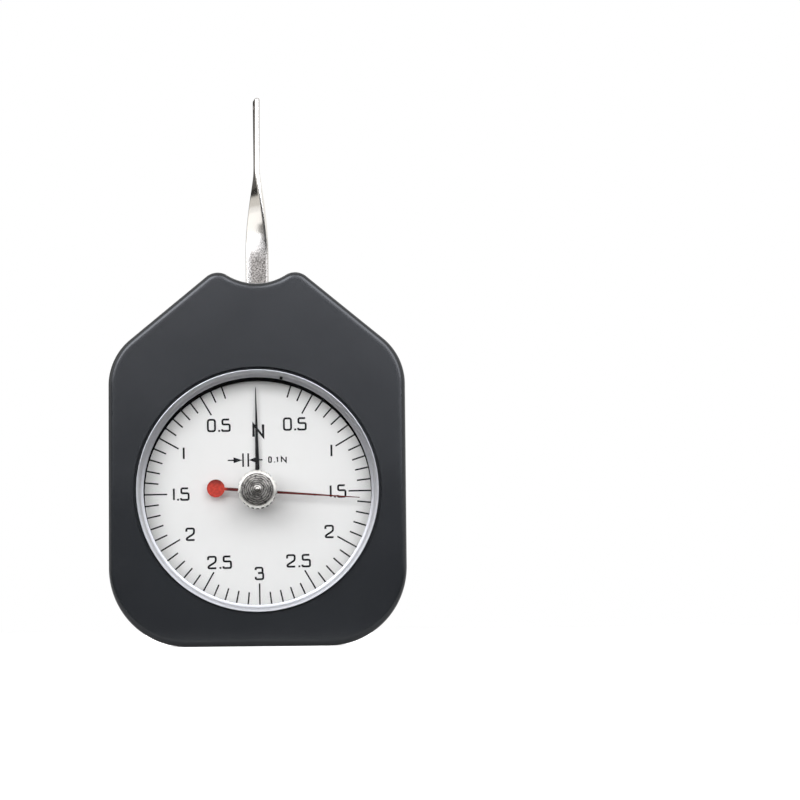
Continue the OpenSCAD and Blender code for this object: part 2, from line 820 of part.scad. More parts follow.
module lever_screws() {
    color("#9a9a98") for (side = [-1, 1])
        translate([side * lever_screw_at, 0, pivot_z]) rotate([180, 0, 0])
            screw(lever_screw_r, lever_head_r, lever_head_t, -y_hub, -y_sector + lever_head_t);
}

// One side of a tooth: [radius, angle from the tooth's middle] from root to tip
function involute(a) = tan(a) * 180 / PI - a;
function flank(pitch_r, tip_r, root_r, half_at_pitch) = let (
        base_r = pitch_r * cos(pressure_angle),
        start_r = max(base_r, root_r),
        steps = 4,
        rise = [for (i = [0:steps]) let (
                r = start_r + (tip_r - start_r) * i / steps,
                a = acos(min(1, base_r / r)))
            [r, half_at_pitch + involute(pressure_angle) - involute(a)]])
    root_r < base_r ? concat([[root_r, rise[0][1]]], rise) : rise;

// Points [x, z] of a tooth whose middle points at angle a from the x axis
function tooth(side, a) = concat(
    [for (p = side) [p[0] * cos(a - p[1]), p[0] * sin(a - p[1])]],
    [for (i = [len(side) - 1:-1:0]) let (p = side[i]) [p[0] * cos(a + p[1]), p[0] * sin(a + p[1])]]);

// Half a tooth's width at the pitch circle, as an angle, less its share of the backlash
function tooth_half(pitch_r, teeth) = 90 / teeth - backlash / 4 / pitch_r * 180 / PI;

module pinion() {
    side = flank(pinion_pitch_r, pinion_pitch_r + tooth_module, pinion_pitch_r - tooth_module,
        tooth_half(pinion_pitch_r, pinion_teeth));
    step = 360 / pinion_teeth;
    y_mid = y_sector + sector_t / 2;
    color("#b08d4a") slab(y_mid - pinion_len / 2, y_mid + pinion_len / 2) translate(axis_p) difference() {
        polygon([for (i = [0:pinion_teeth - 1]) each tooth(side, 90 + step * (i + 0.5))]);
        circle(r = pointer_arbor_r + seat_gap);
    }
}

module sector_gear() {
    tip_r = sector_pitch_r + tooth_module * sector_addendum;
    root_r = sector_pitch_r - tooth_module * sector_dedendum;
    side = flank(sector_pitch_r, tip_r, root_r, tooth_half(sector_pitch_r, sector_teeth));
    step = 360 / sector_teeth;
    count = floor(sector_half / step);
    spread = sector_end_share * step;
    rim = [for (i = [-count:count]) each tooth(side, -90 + step * i)];
    ends = [for (s = [1, -1]) let (a = -90 + s * (count * step + spread)) [root_r * cos(a), root_r * sin(a)]];
    color("#b08d4a") slab(y_sector, y_lever_front) translate(pivot_p) difference() {
        union() {
            circle(r = hub_r);
            polygon(concat([[0, hub_r / 2], ends[1]], rim, [ends[0]]));
        }
        circle(r = hub_sleeve_r + seat_gap);
        for (s = [-1, 1]) translate([s * lever_screw_at, 0]) circle(r = lever_screw_r + running_gap);
        translate([0, -sector_pitch_r * sector_hole_at]) circle(r = sector_pitch_r * sector_hole_share);
    }
}

// Spiral strip in x and z, wound from the collet out to the stud
spring_end = stud_angle + 360 * spring_turns;
function spiral(offset) = [for (i = [0:spring_points_per_turn * spring_turns]) let (
        t = i / spring_points_per_turn, a = stud_angle + 360 * t,
        r = spring_r0 + spring_pitch * t + offset)
    [r * cos(a), r * sin(a)]];

module measuring_spring() {
    inner = spiral(-spring_t / 2);
    outer = spiral(spring_t / 2);
    color("#5b5f66") slab(y_spring, y_spring + spring_w) translate(pivot_p)
        polygon(concat(inner, [for (i = [len(outer) - 1:-1:0]) outer[i]]));
}

module spring_collet() {
    color("#b08d4a") tube(collet_r, lever_arbor_r + seat_gap, y_hub, y_spring + spring_w, pivot_p);
}

module spring_stud() {
    a = spring_end;
    at = spring_r1 + spring_t / 2 + stud_r + seat_gap;
    color("#a9abae") rod(stud_r, y_spring - stud_out, y_rear_plate,
        [pivot_p[0] + at * cos(a), pivot_p[1] + at * sin(a)]);
}

module stop_pins() {
    color("#a9abae") for (side = [-1, 1])
        rod(stop_r, y_lever_front - pass_gap, y_rear_plate,
            [side * stop_at * sin(stop_angle), pivot_z + stop_at * cos(stop_angle)]);
}

front_housing();
rear_cover();
case_screws();
lens_ring();
lens();
lens_bush();
friction_washer();
reset_knob();
reset_shaft();
drag_collet();
drag_pointer();
dial_plate();
pointer();
pointer_hub();
pointer_arbor();
pinion();
pointer_bushes();
front_plate();
rear_plate();
plate_pillars();
plate_screws();
movement_screws();
feeler_lever();
lever_hub();
lever_arbor();
lever_bushes();
lever_screws();
sector_gear();
measuring_spring();
spring_collet();
spring_stud();
stop_pins();
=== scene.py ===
import json
import bmesh
import bpy
import numpy as np
from mathutils import Matrix, Quaternion, Vector
from mathutils.geometry import delaunay_2d_cdt


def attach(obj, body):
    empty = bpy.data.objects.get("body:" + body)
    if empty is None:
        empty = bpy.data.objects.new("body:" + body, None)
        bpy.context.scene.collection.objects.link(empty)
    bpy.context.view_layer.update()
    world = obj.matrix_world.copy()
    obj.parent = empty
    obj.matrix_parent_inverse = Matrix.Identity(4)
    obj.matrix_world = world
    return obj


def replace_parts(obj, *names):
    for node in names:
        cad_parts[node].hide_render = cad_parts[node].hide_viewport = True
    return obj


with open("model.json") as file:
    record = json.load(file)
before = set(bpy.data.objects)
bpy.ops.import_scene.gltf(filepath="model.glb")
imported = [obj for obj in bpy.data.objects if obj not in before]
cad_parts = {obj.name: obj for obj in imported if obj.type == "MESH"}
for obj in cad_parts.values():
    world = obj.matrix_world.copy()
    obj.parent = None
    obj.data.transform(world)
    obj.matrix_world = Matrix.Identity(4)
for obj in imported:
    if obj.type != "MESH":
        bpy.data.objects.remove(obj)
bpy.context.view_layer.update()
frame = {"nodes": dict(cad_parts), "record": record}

MM = 0.001

# Sizes in millimetres and degrees, as in the part's source. The draft is 0.1 mm less and the ribs' crests are
# 0.04 mm lower than there, so that the ribs stay behind the front edge when the gauge is seen from the front.
CASE_W, CASE_H = 62.8, 78.9
FRONT_DEPTH, REAR_DEPTH = 15.5, 9.5
WALL, EDGE_R, DRAFT = 2.0, 1.2, 0.25
BASE_R, SHOULDER_R, HORN_R = 16.7, 12.7, 4.0
SHOULDER_NORMAL, HORN_X, DIP_DEPTH = 50.6, 8.15, 2.3
RIB_Z, RIB_PITCH, RIB_COUNT, RIB_END = 11.0, 1.31, 28, 9.4
RIB_PROUD, RIB_DEPTH = -0.09, 0.46
SLOT_DEPTH, SLOT_HORN = 1.8, 94.7
SEAM = 0.16
DIAL_Z, DIAL_Y = 32.6, -8.6
WINDOW_R, SEAT_R, WELL_R, COLLAR_R = 26.0, 25.45, 24.21, 26.95
RING_R, RING_IN, RING_Y, LENS_Y, WELL_Y = 25.41, 23.91, -15.4, -13.6, -12.1
KNOB_R, KNOB_Y, KNURLS = 4.0, -21.0, 24
DRAG_REST, DRAG_TAIL, DRAG_DISC_R = 94.0, 8.86, 1.88
LEVER_Y, LEVER_W, LEVER_TIP_W, LEVER_T = -0.85, 4.9, 4.0, 1.1
LEVER_LOW, TWIST_LOW, TWIST_HIGH, LEVER_TIP = 56.0, 84.7, 101.7, 118.1
EYE_Z, EYE_R = 116.5, 0.9
CASE_SCREWS = ((22.4, 9.5), (20.4, 61.47))
SCREW_HEAD_R, SCREW_HEAD_SINK, SCREW_BORE_R = 2.4, 1.6, 1.28

# Sizes of the scene alone, in millimetres and degrees
WELD = 0.002  # points nearer to each other than this become one
LAND = 0.4  # flat strip next to an edge, so that the edge's shading stays off the flat face
WINDOW_EDGE, RING_BED = 0.04, 1.2  # broken edge of the dial's window, and depth of the bed for the ring
SCREW_EDGE = 0.15  # broken edge of a screw's seat
GRIP_STEP, GRIP_GAP = 0.02, 0.4  # step at either end of the ribbed grip, and the plain side left above it
ARC_GAP, SLOT_EDGE = 0.3, 0.1  # degrees between corner and grip, and on either side of the slot's edge
RIB_FADE = 9.05  # depth at which the ribs begin to run out; they end at RIB_END
RIB_RISE, RIB_FALL = (0.14, 0.28), (0.78, 0.92)  # flanks of a rib, in parts of the pitch
RIB_PLACES = (0, .07, .14, .18, .21, .24, .28, .34, .53, .72, .78, .82, .85, .88, .92, .96)
FRONT_ROWS = (1, 2.2, 3.6, 5, 6.4, 7.8, 8.7, 9.0, 9.1, 9.16, 9.22, 9.28, 9.34, 9.4, 9.46, 10.2, 11.6, 13)
REAR_ROWS = (3, 6)
# A matt black ring in the well, as painted shade: widest at the top, where the bezel shades the dial
SHADE_RING_OUT, SHADE_RING_IN, SHADE_RING_FRONT, SHADE_RING_BACK = 0.08, 0.44, 0.02, 0.04  # its faces from the well's
SHADE_RING_DROP, SHADE_RING_WIDEN = 0.32, 1.006  # how far down its hole is moved, and how much wider it is
KNURL_PROUD, KNURL_DEPTH = 0.12, 0.4
KNURL_START, KNURL_END = (0.42, 0.8), (6.0, 6.4)  # where the grooves deepen and where they run out
TWIST_TURN, TIP_BACK, TWIST_SOFT = 87, 4.5, 0.006  # full twist, turn back at the tip, softness of the ends
TWIST_BEFORE, TWIST_AFTER = 1.5, 2  # reach of the fine rows past the ends of the twist
STRIP_R, TIP_R, DRILL_REACH = 0.42, 0.4, 3.0  # the strip's edges and tip, half the length of the drill
SPLIT_BEARING, SPLIT_R, SPLIT_W = (12.0, 13.4), 24.35, 0.5  # the gap in the ring's lip
SPLIT_Y = (RING_Y + 0.74, RING_Y + 1.12)

# Counts of points: round the dial, round a screw or the eye, over a rounded edge, across a groove of the
# knurl, up the plain side of the rear shell, and round a quarter of the strip's edge
TURN_STEPS, BORE_STEPS, EDGE_STEPS, KNURL_STEPS, PLAIN_STEPS, STRIP_STEPS = 240, 48, 9, 14, 24, 7


# Shapes

def smooth(low, high, x):
    """Rises from 0 at low to 1 at high along t * t * (3 - 2 t)."""
    t = np.clip((x - low) / (high - low), 0, 1)
    return t * t * (3 - 2 * t)


def rows_patch(rows):
    """A grid of rows that close on themselves: quads between neighbouring points, the last column joined
    to the first."""
    count = rows.shape[1]
    i = np.arange(len(rows) * count).reshape(len(rows), count)
    j = np.roll(i, -1, 1)
    return rows.reshape(-1, 3), np.stack([i[:-1], j[:-1], j[1:], i[1:]], -1).reshape(-1, 4)


def fan(ring):
    """A flat cap over a ring of points: triangles from its first point."""
    i = np.arange(1, len(ring) - 1)
    return ring, np.stack([0 * i, i, i + 1], 1)


def solid(name, patches, material, body, crease=32):
    """One closed mesh from patches of points in mm and faces: points that meet are merged and the faces
    turned outwards. Edges that bend by more than the crease, in degrees, stay sharp."""
    offsets = np.cumsum([0] + [len(p) for p, f in patches])
    points = np.concatenate([p for p, f in patches]) * MM
    faces = sum(((f + o).tolist() for (p, f), o in zip(patches, offsets)), [])
    mesh = bpy.data.meshes.new(name)
    mesh.from_pydata(points.tolist(), [], faces)
    work = bmesh.new()
    work.from_mesh(mesh)
    bmesh.ops.remove_doubles(work, verts=work.verts, dist=WELD * MM)
    bmesh.ops.recalc_face_normals(work, faces=work.faces)
    work.to_mesh(mesh)
    work.free()
    mesh.shade_smooth()
    mesh.set_sharp_from_angle(angle=np.radians(crease))
    mesh.materials.append(material)
    piece = bpy.data.objects.new(name, mesh)
    bpy.context.scene.collection.objects.link(piece)
    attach(piece, body)
    return piece


def arc(centre, radius, a0, a1, n):
    """n points centre + radius * (cos a, sin a), a from a0 up to but not at a1, with their outward
    normals."""
    a = np.radians(np.linspace(a0, a1, n, endpoint=False))
    d = np.stack([np.cos(a), np.sin(a)], 1)
    return np.array(centre) + radius * d, d


def line(p, q, n):
    """n even steps from p towards q; the normal is the direction turned a quarter to the right."""
    p, q = np.array(p, float), np.array(q, float)
    d = (q - p) / np.linalg.norm(q - p)
    return p + (q - p) * np.linspace(0, 1, n, endpoint=False)[:, None], np.tile([d[1], -d[0]], (n, 1))


def case_outline(ribbed):
    """Outline of the case in x and z: points, outward normals, place within a rib (or -1) and lever-slot
    columns. The right half runs up from the middle of the base: a line, the corner arc, the side with its
    ribs, the shoulder arc, the slope, the horn's arc and half of the dip. The left half is the right one
    mirrored and read backwards."""
    slope = np.radians(SHOULDER_NORMAL)
    turn = np.array([np.cos(slope), np.sin(slope)])
    horn = np.array([HORN_X, CASE_H - HORN_R])
    reach = horn @ turn + HORN_R
    shoulder_x = CASE_W / 2 - SHOULDER_R
    shoulder = np.array([shoulder_x, (reach - SHOULDER_R - shoulder_x * turn[0]) / turn[1]])
    dip_r = (HORN_X ** 2 / DIP_DEPTH + DIP_DEPTH) / 2 - HORN_R
    dip = np.array([0, CASE_H - DIP_DEPTH + dip_r])
    horn_end = np.degrees(np.arctan2(dip[1] - horn[1], -horn[0]))
    base = np.array([CASE_W / 2 - BASE_R, BASE_R])
    rib_top = RIB_Z + RIB_COUNT * RIB_PITCH
    rib_low = np.degrees(np.arcsin((RIB_Z - BASE_R) / BASE_R))
    if ribbed:
        place = np.tile(RIB_PLACES, RIB_COUNT)
        z = RIB_Z + RIB_PITCH * (np.repeat(np.arange(RIB_COUNT), len(RIB_PLACES)) + place)
        z = np.concatenate([[RIB_Z - GRIP_STEP], z, [rib_top, rib_top + GRIP_STEP]])
        place = np.concatenate([[-1], place, [0, -1]])
    else:
        z = np.linspace(RIB_Z, rib_top, PLAIN_STEPS)
        place = np.full(PLAIN_STEPS, -1.0)
    s = np.clip((z - BASE_R) / BASE_R, -1, 0)
    c = np.sqrt(1 - s * s)
    side = np.stack([base[0] + BASE_R * c, z], 1), np.stack([c, s], 1)
    hollow, inward = arc(dip, dip_r, horn_end - 180, -90, 17)
    lowest = [[0, CASE_H - DIP_DEPTH]]
    # The last number of a line or an arc is its count of points
    stretches = [
        line((0, 0), (base[0], 0), 14),
        arc(base, BASE_R, -90, rib_low - ARC_GAP, 26),
        side,
        line((CASE_W / 2, rib_top + GRIP_GAP), (CASE_W / 2, shoulder[1]), 6),
        arc(shoulder, SHOULDER_R, 0, SHOULDER_NORMAL, 22),
        line(shoulder + SHOULDER_R * turn, horn + HORN_R * turn, 14),
        arc(horn, HORN_R, SHOULDER_NORMAL, SLOT_HORN - SLOT_EDGE, 16),
        arc(horn, HORN_R, SLOT_HORN - SLOT_EDGE, SLOT_HORN + SLOT_EDGE, 1),
        arc(horn, HORN_R, SLOT_HORN + SLOT_EDGE, horn_end, 9),
        (np.concatenate([hollow, lowest]), np.concatenate([-inward, [[0, 1]]])),
    ]
    points = np.concatenate([p for p, n in stretches])
    normals = np.concatenate([n for p, n in stretches])
    counts = [len(p) for p, n in stretches]
    ribs = np.full(len(points), -1.0)
    ribs[sum(counts[:2]):sum(counts[:3])] = place
    slot = np.arange(len(points)) >= sum(counts[:8])
    back = np.s_[-2:0:-1]
    flip = np.array([-1, 1])
    return (np.concatenate([points, points[back] * flip]), np.concatenate([normals, normals[back] * flip]),
            np.concatenate([ribs, ribs[back]]), np.concatenate([slot, slot[back]]))


def wall_rows(outline, depth, inset, straight, side):
    """Rows of a shell's wall: each outline point moved in along its normal by the inset plus the draft,
    which grows evenly with depth up to the straight length. The draft leaves the base level. side is -1
    for the front shell and 1 for the rear."""
    points, normals = outline[:2]
    narrow = DRAFT * np.minimum(depth, straight) / straight
    p = points - normals * (np.reshape(inset, (-1, 1)) + narrow)[..., None]
    z = p[..., 1] - narrow * (1 - p[..., 1] / CASE_H)
    return np.stack([p[..., 0], side * np.broadcast_to(depth, z.shape), z], -1)


def rib_height(place):
    """Height of the grip over the side wall: crests with rounded flanks, and a flat groove between two
    ribs."""
    crest = smooth(*RIB_RISE, place) * (1 - smooth(*RIB_FALL, place))
    return RIB_PROUD - RIB_DEPTH * (1 - crest)


def rounded_edge(straight):
    """Depths and insets of a quarter-round edge of radius EDGE_R that starts at the depth straight, then
    a flat land."""
    a = np.linspace(0, np.pi / 2, EDGE_STEPS + 1)[1:]
    depth = np.append(straight + EDGE_R * np.sin(a), straight + EDGE_R)
    return depth, np.append(EDGE_R * (1 - np.cos(a)), EDGE_R + LAND)


def circle(r, n=TURN_STEPS, at=(0, DIAL_Z)):
    """n points in x and z at a distance r from a place, in equal steps."""
    a = 2 * np.pi * np.arange(n) / n
    return np.stack([at[0] + r * np.sin(a), at[1] + r * np.cos(a)], 1)


def lathe(profile, n=TURN_STEPS, at=(0, DIAL_Z)):
    """Surface of revolution about an axis along y: (radius, depth) points turned through n equal steps."""
    a = 2 * np.pi * np.arange(n) / n
    r, y = np.array(profile, float).T[..., None]
    return rows_patch(np.stack([at[0] + r * np.sin(a), y + 0 * a, at[1] + r * np.cos(a)], -1))


def plate(y, outline, holes):
    """Flat plate at depth y, filled between an outline of x and z and round holes, each given as radius,
    steps and place."""
    loops = [outline] + [circle(*hole) for hole in holes]
    sizes = [len(loop) for loop in loops]
    starts = np.cumsum([0] + sizes)
    edges = [s + np.stack([np.arange(n), (np.arange(n) + 1) % n], 1) for s, n in zip(starts, sizes)]
    filled = delaunay_2d_cdt(np.concatenate(loops).tolist(), np.concatenate(edges).tolist(), [], 1, 1e-6)
    flat, faces = np.array(filled[0]), np.array(filled[2])
    middles = flat[faces].mean(1)
    for radius, steps, at in holes:
        away = np.hypot(*(middles - at).T) > radius
        faces, middles = faces[away], middles[away]
    return np.stack([flat[:, 0], np.full(len(flat), y), flat[:, 1]], 1), faces


def front_shell(material):
    """Front shell of the case. Wall rows run from the seam to the rounded front edge; ribs move the side
    columns to the outline's own x plus the rib height, and the rim steps forward by the slot's depth
    where the lever comes out."""
    outline = case_outline(True)
    ribs, slot = outline[2:]
    straight = FRONT_DEPTH - EDGE_R
    edge_depth, edge_inset = rounded_edge(straight)
    depth = np.concatenate([[0, SEAM], FRONT_ROWS, [straight], edge_depth])
    inset = np.concatenate([[SEAM, 0], np.zeros(len(FRONT_ROWS)), [0], edge_inset])
    step = SLOT_DEPTH * slot * np.clip(1 - depth / straight, 0, 1)[:, None]
    outer = wall_rows(outline, depth[:, None] + step, inset, straight, -1)
    panel = (1 - smooth(RIB_FADE, RIB_END, depth))[:, None] * (ribs >= 0)
    grip = np.abs(outline[0][:, 0]) + rib_height(ribs) - np.minimum(inset, SEAM)[:, None]
    outer[..., 0] += panel * (np.sign(outer[..., 0]) * grip - outer[..., 0])
    inner_depth = np.array([[0], [FRONT_DEPTH - WALL]]) + SLOT_DEPTH * slot * np.array([[1], [0]])
    inner = wall_rows(outline, inner_depth, [WALL, WALL], straight, -1)
    face, floor = -FRONT_DEPTH, WALL - FRONT_DEPTH
    edge_r, bed = WINDOW_R + WINDOW_EDGE, face + RING_BED
    window = [(edge_r + LAND, face), (edge_r, face), (WINDOW_R, face + WINDOW_EDGE), (WINDOW_R, bed),
              (SEAT_R, bed), (SEAT_R, WELL_Y), (WELL_R, WELL_Y), (WELL_R, DIAL_Y), (COLLAR_R, DIAL_Y),
              (COLLAR_R, floor)]
    return solid("front_shell", [
        rows_patch(np.stack([inner[0], outer[0]])), rows_patch(outer), rows_patch(inner), lathe(window),
        plate(face, outer[-1][:, [0, 2]], [(edge_r + LAND, TURN_STEPS, (0, DIAL_Z))]),
        plate(floor, inner[-1][:, [0, 2]], [(COLLAR_R, TURN_STEPS, (0, DIAL_Z))])],
        material, "case")


def rear_shell(material):
    """Rear shell of the case: wall rows from the seam to the rounded rear edge, and a flat back with four
    sunk screw seats."""
    outline = case_outline(False)
    straight = REAR_DEPTH - EDGE_R
    edge_depth, edge_inset = rounded_edge(straight)
    depth = np.concatenate([[0, SEAM], REAR_ROWS, [straight], edge_depth])
    inset = np.concatenate([[SEAM, 0], np.zeros(len(REAR_ROWS)), [0], edge_inset])
    outer = wall_rows(outline, depth[:, None], inset, straight, 1)
    floor, bed = REAR_DEPTH - WALL, REAR_DEPTH - SCREW_HEAD_SINK
    inner = wall_rows(outline, np.array([[0], [floor]]), [WALL, WALL], straight, 1)
    places = [(s * x, z) for x, z in CASE_SCREWS for s in (1, -1)]
    edge_r = SCREW_HEAD_R + SCREW_EDGE
    seat = [(edge_r + LAND, REAR_DEPTH), (edge_r, REAR_DEPTH), (SCREW_HEAD_R, REAR_DEPTH - SCREW_EDGE),
            (SCREW_HEAD_R, bed), (SCREW_BORE_R, bed), (SCREW_BORE_R, floor)]
    return solid("rear_shell", [
        rows_patch(np.stack([inner[0], outer[0]])), rows_patch(outer), rows_patch(inner),
        *[lathe(seat, BORE_STEPS, at) for at in places],
        plate(REAR_DEPTH, outer[-1][:, [0, 2]], [(edge_r + LAND, BORE_STEPS, at) for at in places]),
        plate(floor, inner[-1][:, [0, 2]], [(SCREW_BORE_R, BORE_STEPS, at) for at in places])],
        material, "case")


def bezel(material):
    """Bezel ring, turned: a sloped outer band, a fine step and a narrow inner lip."""
    r, y = RING_R, RING_Y
    band = [(RING_IN, LENS_Y), (r, LENS_Y), (r, y + 0.12), (r - 0.03, y + 0.04), (r - 0.12, y),
            (r - 0.86, y + 0.5)]
    step = [(r - 0.9, y + 0.56), (r - 0.9, y + 0.76), (r - 0.94, y + 0.8)]
    lip = [(RING_IN + 0.12, y + 1.0), (RING_IN + 0.03, y + 1.06), (RING_IN, y + 1.15), (RING_IN, LENS_Y)]
    return solid("bezel_ring", [lathe(band + step + lip)], material, "case", crease=28)


def shade_ring(material):
    """Painted shade between the lens and the dial: a square-edged matt black ring whose hole is moved down a
    little, so that it is widest at the top, where the bezel's shade falls on the dial."""
    front, back = WELL_Y + SHADE_RING_FRONT, DIAL_Y - SHADE_RING_BACK
    outer, inner = WELL_R - SHADE_RING_OUT, WELL_R - SHADE_RING_IN
    points, faces = lathe([(inner, front), (outer, front), (outer, back), (inner, back), (inner, front)])
    hole = np.hypot(points[:, 0], points[:, 2] - DIAL_Z) < (inner + outer) / 2
    points[hole, 0] *= SHADE_RING_WIDEN
    points[hole, 2] -= SHADE_RING_DROP
    return solid("dial_shade_ring", [(points, faces)], material, "case")


def knob(material):
    """Reset knob: a turned profile with a nub, a slightly domed face and a plain chamfer. Behind the
    chamfer the radius dips at each groove of the knurl by a raised cosine."""
    k, crest = KNOB_R, KNOB_R + KNURL_PROUD
    nub = [(0, -0.12), (0.14, -0.11), (0.26, -0.08), (0.36, -0.03), (0.44, 0)]
    face = [(1.2, 0.01), (2.2, 0.04), (k - 0.75, 0.09), (k - 0.56, 0.11), (k - 0.52, 0.12)]
    chamfer = [(k - 0.48, 0.15), (k - 0.05, 0.45), (k, 0.5), (k + 0.05, 0.56), (k + 0.1, 0.64)]
    side = [(crest, 0.75), (crest, 2.4), (crest, 4.0), (crest, 5.7), (k + 0.1, 6.0)]
    rear = [(k, 6.3), (k - 0.12, 6.42), (k - 0.3, 6.5), (0, 6.5)]
    r, d = np.array(nub + face + chamfer + side + rear).T[..., None]
    n = KNURLS * KNURL_STEPS
    a = 2 * np.pi * np.arange(n) / n
    groove = (0.5 + 0.5 * np.cos(KNURLS * a)) ** 0.8
    r = r - KNURL_DEPTH * groove * smooth(*KNURL_START, d) * (1 - smooth(*KNURL_END, d))
    points = np.stack([r * np.sin(a), KNOB_Y + d + 0 * a, DIAL_Z + r * np.cos(a)], -1)
    return solid("reset_knob_turned", [rows_patch(points)], material, "reset", crease=50)


def lever(material):
    """Feeler lever: a rounded strip section carried up the lever's line, turned about that line between
    the two twist heights and a little back from there to the tip. It narrows to the tip, whose end is
    rounded over, and a round eye is cut through the flat near the tip."""
    tip_low, fine_low, fine_high = LEVER_TIP - TIP_R, TWIST_LOW - TWIST_BEFORE, TWIST_HIGH + TWIST_AFTER
    over = np.linspace(0, np.pi / 2, STRIP_STEPS)[1:]
    z = np.concatenate([np.linspace(LEVER_LOW, fine_low, 14, endpoint=False),
                        np.linspace(fine_low, fine_high, 110, endpoint=False),
                        np.linspace(fine_high, tip_low, 14), tip_low + TIP_R * np.sin(over)])
    cut = np.zeros((len(z), 1))
    cut[-len(over):, 0] = TIP_R * (1 - np.cos(over))
    narrow = np.clip((z - TWIST_LOW) / (LEVER_TIP - TWIST_LOW), 0, 1)
    half_width = (LEVER_W + (LEVER_TIP_W - LEVER_W) * narrow)[:, None] / 2
    span = (z - TWIST_LOW) / (TWIST_HIGH - TWIST_LOW)
    ease = 0.5 * (np.sqrt(span ** 2 + TWIST_SOFT) - np.sqrt((span - 1) ** 2 + TWIST_SOFT)) + 0.5
    back = np.clip((z - TWIST_HIGH) / (LEVER_TIP - TWIST_HIGH), 0, 1)
    turn = np.radians(TIP_BACK * back - TWIST_TURN * np.clip(ease, 0, 1))[:, None]
    # The section has four corner arcs, each with one point more on the flat beside it
    corner = np.linspace(0, 90, STRIP_STEPS)
    rise, fall = np.append(corner, 90), np.append(90, corner + 90)
    q = np.radians(np.concatenate([rise, fall, rise + 180, fall + 180]))
    land = LAND / 2 * np.tile(np.repeat([0, 1, 0], [STRIP_STEPS, 2, STRIP_STEPS]), 2)
    right, front = np.repeat([[1, -1, -1, 1], [1, 1, -1, -1]], STRIP_STEPS + 1, axis=1)
    u = right * (half_width - STRIP_R - cut - land) + STRIP_R * np.cos(q)
    v = front * (LEVER_T / 2 - STRIP_R) + (STRIP_R - cut) * np.sin(q)
    c, s = np.cos(turn), np.sin(turn)
    rows = np.stack([u * c - v * s, LEVER_Y + u * s + v * c, np.broadcast_to(z[:, None], u.shape)], -1)
    crease = 40
    strip = solid("lever_strip", [rows_patch(rows), fan(rows[0]), fan(rows[-1])], material,
                  "lever", crease)
    y, z = circle(EYE_R, BORE_STEPS, (LEVER_Y, EYE_Z)).T
    bore = np.stack([np.stack([np.full(BORE_STEPS, x), y, z], 1) for x in (-DRILL_REACH, DRILL_REACH)])
    drill = solid("eye_drill", [rows_patch(bore), fan(bore[0]), fan(bore[1])], material,
                  "lever")
    cut_eye = strip.modifiers.new("eye", "BOOLEAN")
    cut_eye.object, cut_eye.operation, cut_eye.solver = drill, "DIFFERENCE", "EXACT"
    bpy.context.view_layer.update()
    drilled = bpy.data.meshes.new_from_object(strip.evaluated_get(bpy.context.evaluated_depsgraph_get()))
    strip.modifiers.clear()
    strip.data = drilled
    drilled.set_sharp_from_angle(angle=np.radians(crease))
    bpy.data.objects.remove(drill)
    return strip


# Dial print, in millimetres from its middle

# Strokes of each sign in parts of its height: closed or not, radius of the corners, and points. "I" is the
# small 1 with a flag.
GLYPHS = {
    "0": [(True, 0.2, [(0, 0), (0.62, 0), (0.62, 1), (0, 1)])],
    "1": [(False, 0, [(0, 0), (0, 1)])],
    "2": [(False, 0.16, [(0, 0.72), (0, 1), (0.66, 1), (0.66, 0.55), (0.02, 0.16), (0.02, 0), (0.7, 0)])],
    "3": [(False, 0.16, [(0, 0.8), (0, 1), (0.6, 1), (0.6, 0.54), (0.2, 0.54)]),
          (False, 0.16, [(0.4, 0.54), (0.65, 0.54), (0.65, 0), (0, 0), (0, 0.22)])],
    "5": [(False, 0.14, [(0.62, 1), (0.03, 1), (0.03, 0.57), (0.66, 0.57), (0.66, 0), (0, 0), (0, 0.16)])],
    ".": [(False, 0, [(0, -0.06), (0, 0.1)])],
    "N": [(False, 0, [(0, 0), (0, 1), (0.78, 0), (0.78, 1)])],
    "I": [(False, 0, [(0, 0), (0, 1)]), (False, 0, [(-0.26, 0.76), (0, 0.9)])],
}
ADVANCE = {"0": 0.62, "1": 0, "2": 0.7, "3": 0.65, "5": 0.66, ".": -0.1, "N": 0.78, "I": 0}
CORNER_SHARE = 0.48  # a corner takes up no more than this share of the stretch beside it
INK_Y = (DIAL_Y - 0.03, DIAL_Y + 0.02)
PRINT_TURN = np.radians(0.65)
PRINT_AT = (-0.005, DIAL_Z - 0.215)
TICK_FIRST, TICK_LAST, TICK_STEP, TICK_HALF_NEWTON = 18, 342, 6, 30  # degrees from zero
TICK_SHORT, TICK_LONG, TICK_OUT, TICK_W = 21.1, 19.17, 24.05, 0.32
NUMBER_H, NUMBER_W = 2.43, 0.42
# Number, its places left and right of the middle, and its height above it
NUMBERS = (("0.5", -8.05, 8.05, 14.42), ("1", -15.55, 15.7, 8.64), ("1.5", -16.21, 16.94, 0),
           ("2", -14.4, 14.95, -8.52), ("2.5", -8.36, 8.3, -14.57))
LAST_NUMBER_AT = (0, -17.08)
UNIT_AT, UNIT_H, UNIT_W = (0.3, 13.16), 2.6, 0.53
# The small sign that gives the value of one step: two bars, an arrow to each of them, and the value
SIGN_Z, SIGN_H, SIGN_W = 6.95, 1.1, 0.27
VALUE_X, VALUE_UNIT_AT = 3.32, (5.58, SIGN_Z - 0.02)
BARS_X, BAR_REACH, BAR_W = (-3.04, -1.94), 1.43, 0.36
SHAFTS_X, SHAFT_W = ((-6.28, -4.8), (-0.4, 1.08)), 0.28
HEADS_X, HEAD_REACH = ((-3.14, -5.06), (-1.82, -0.2)), 0.62


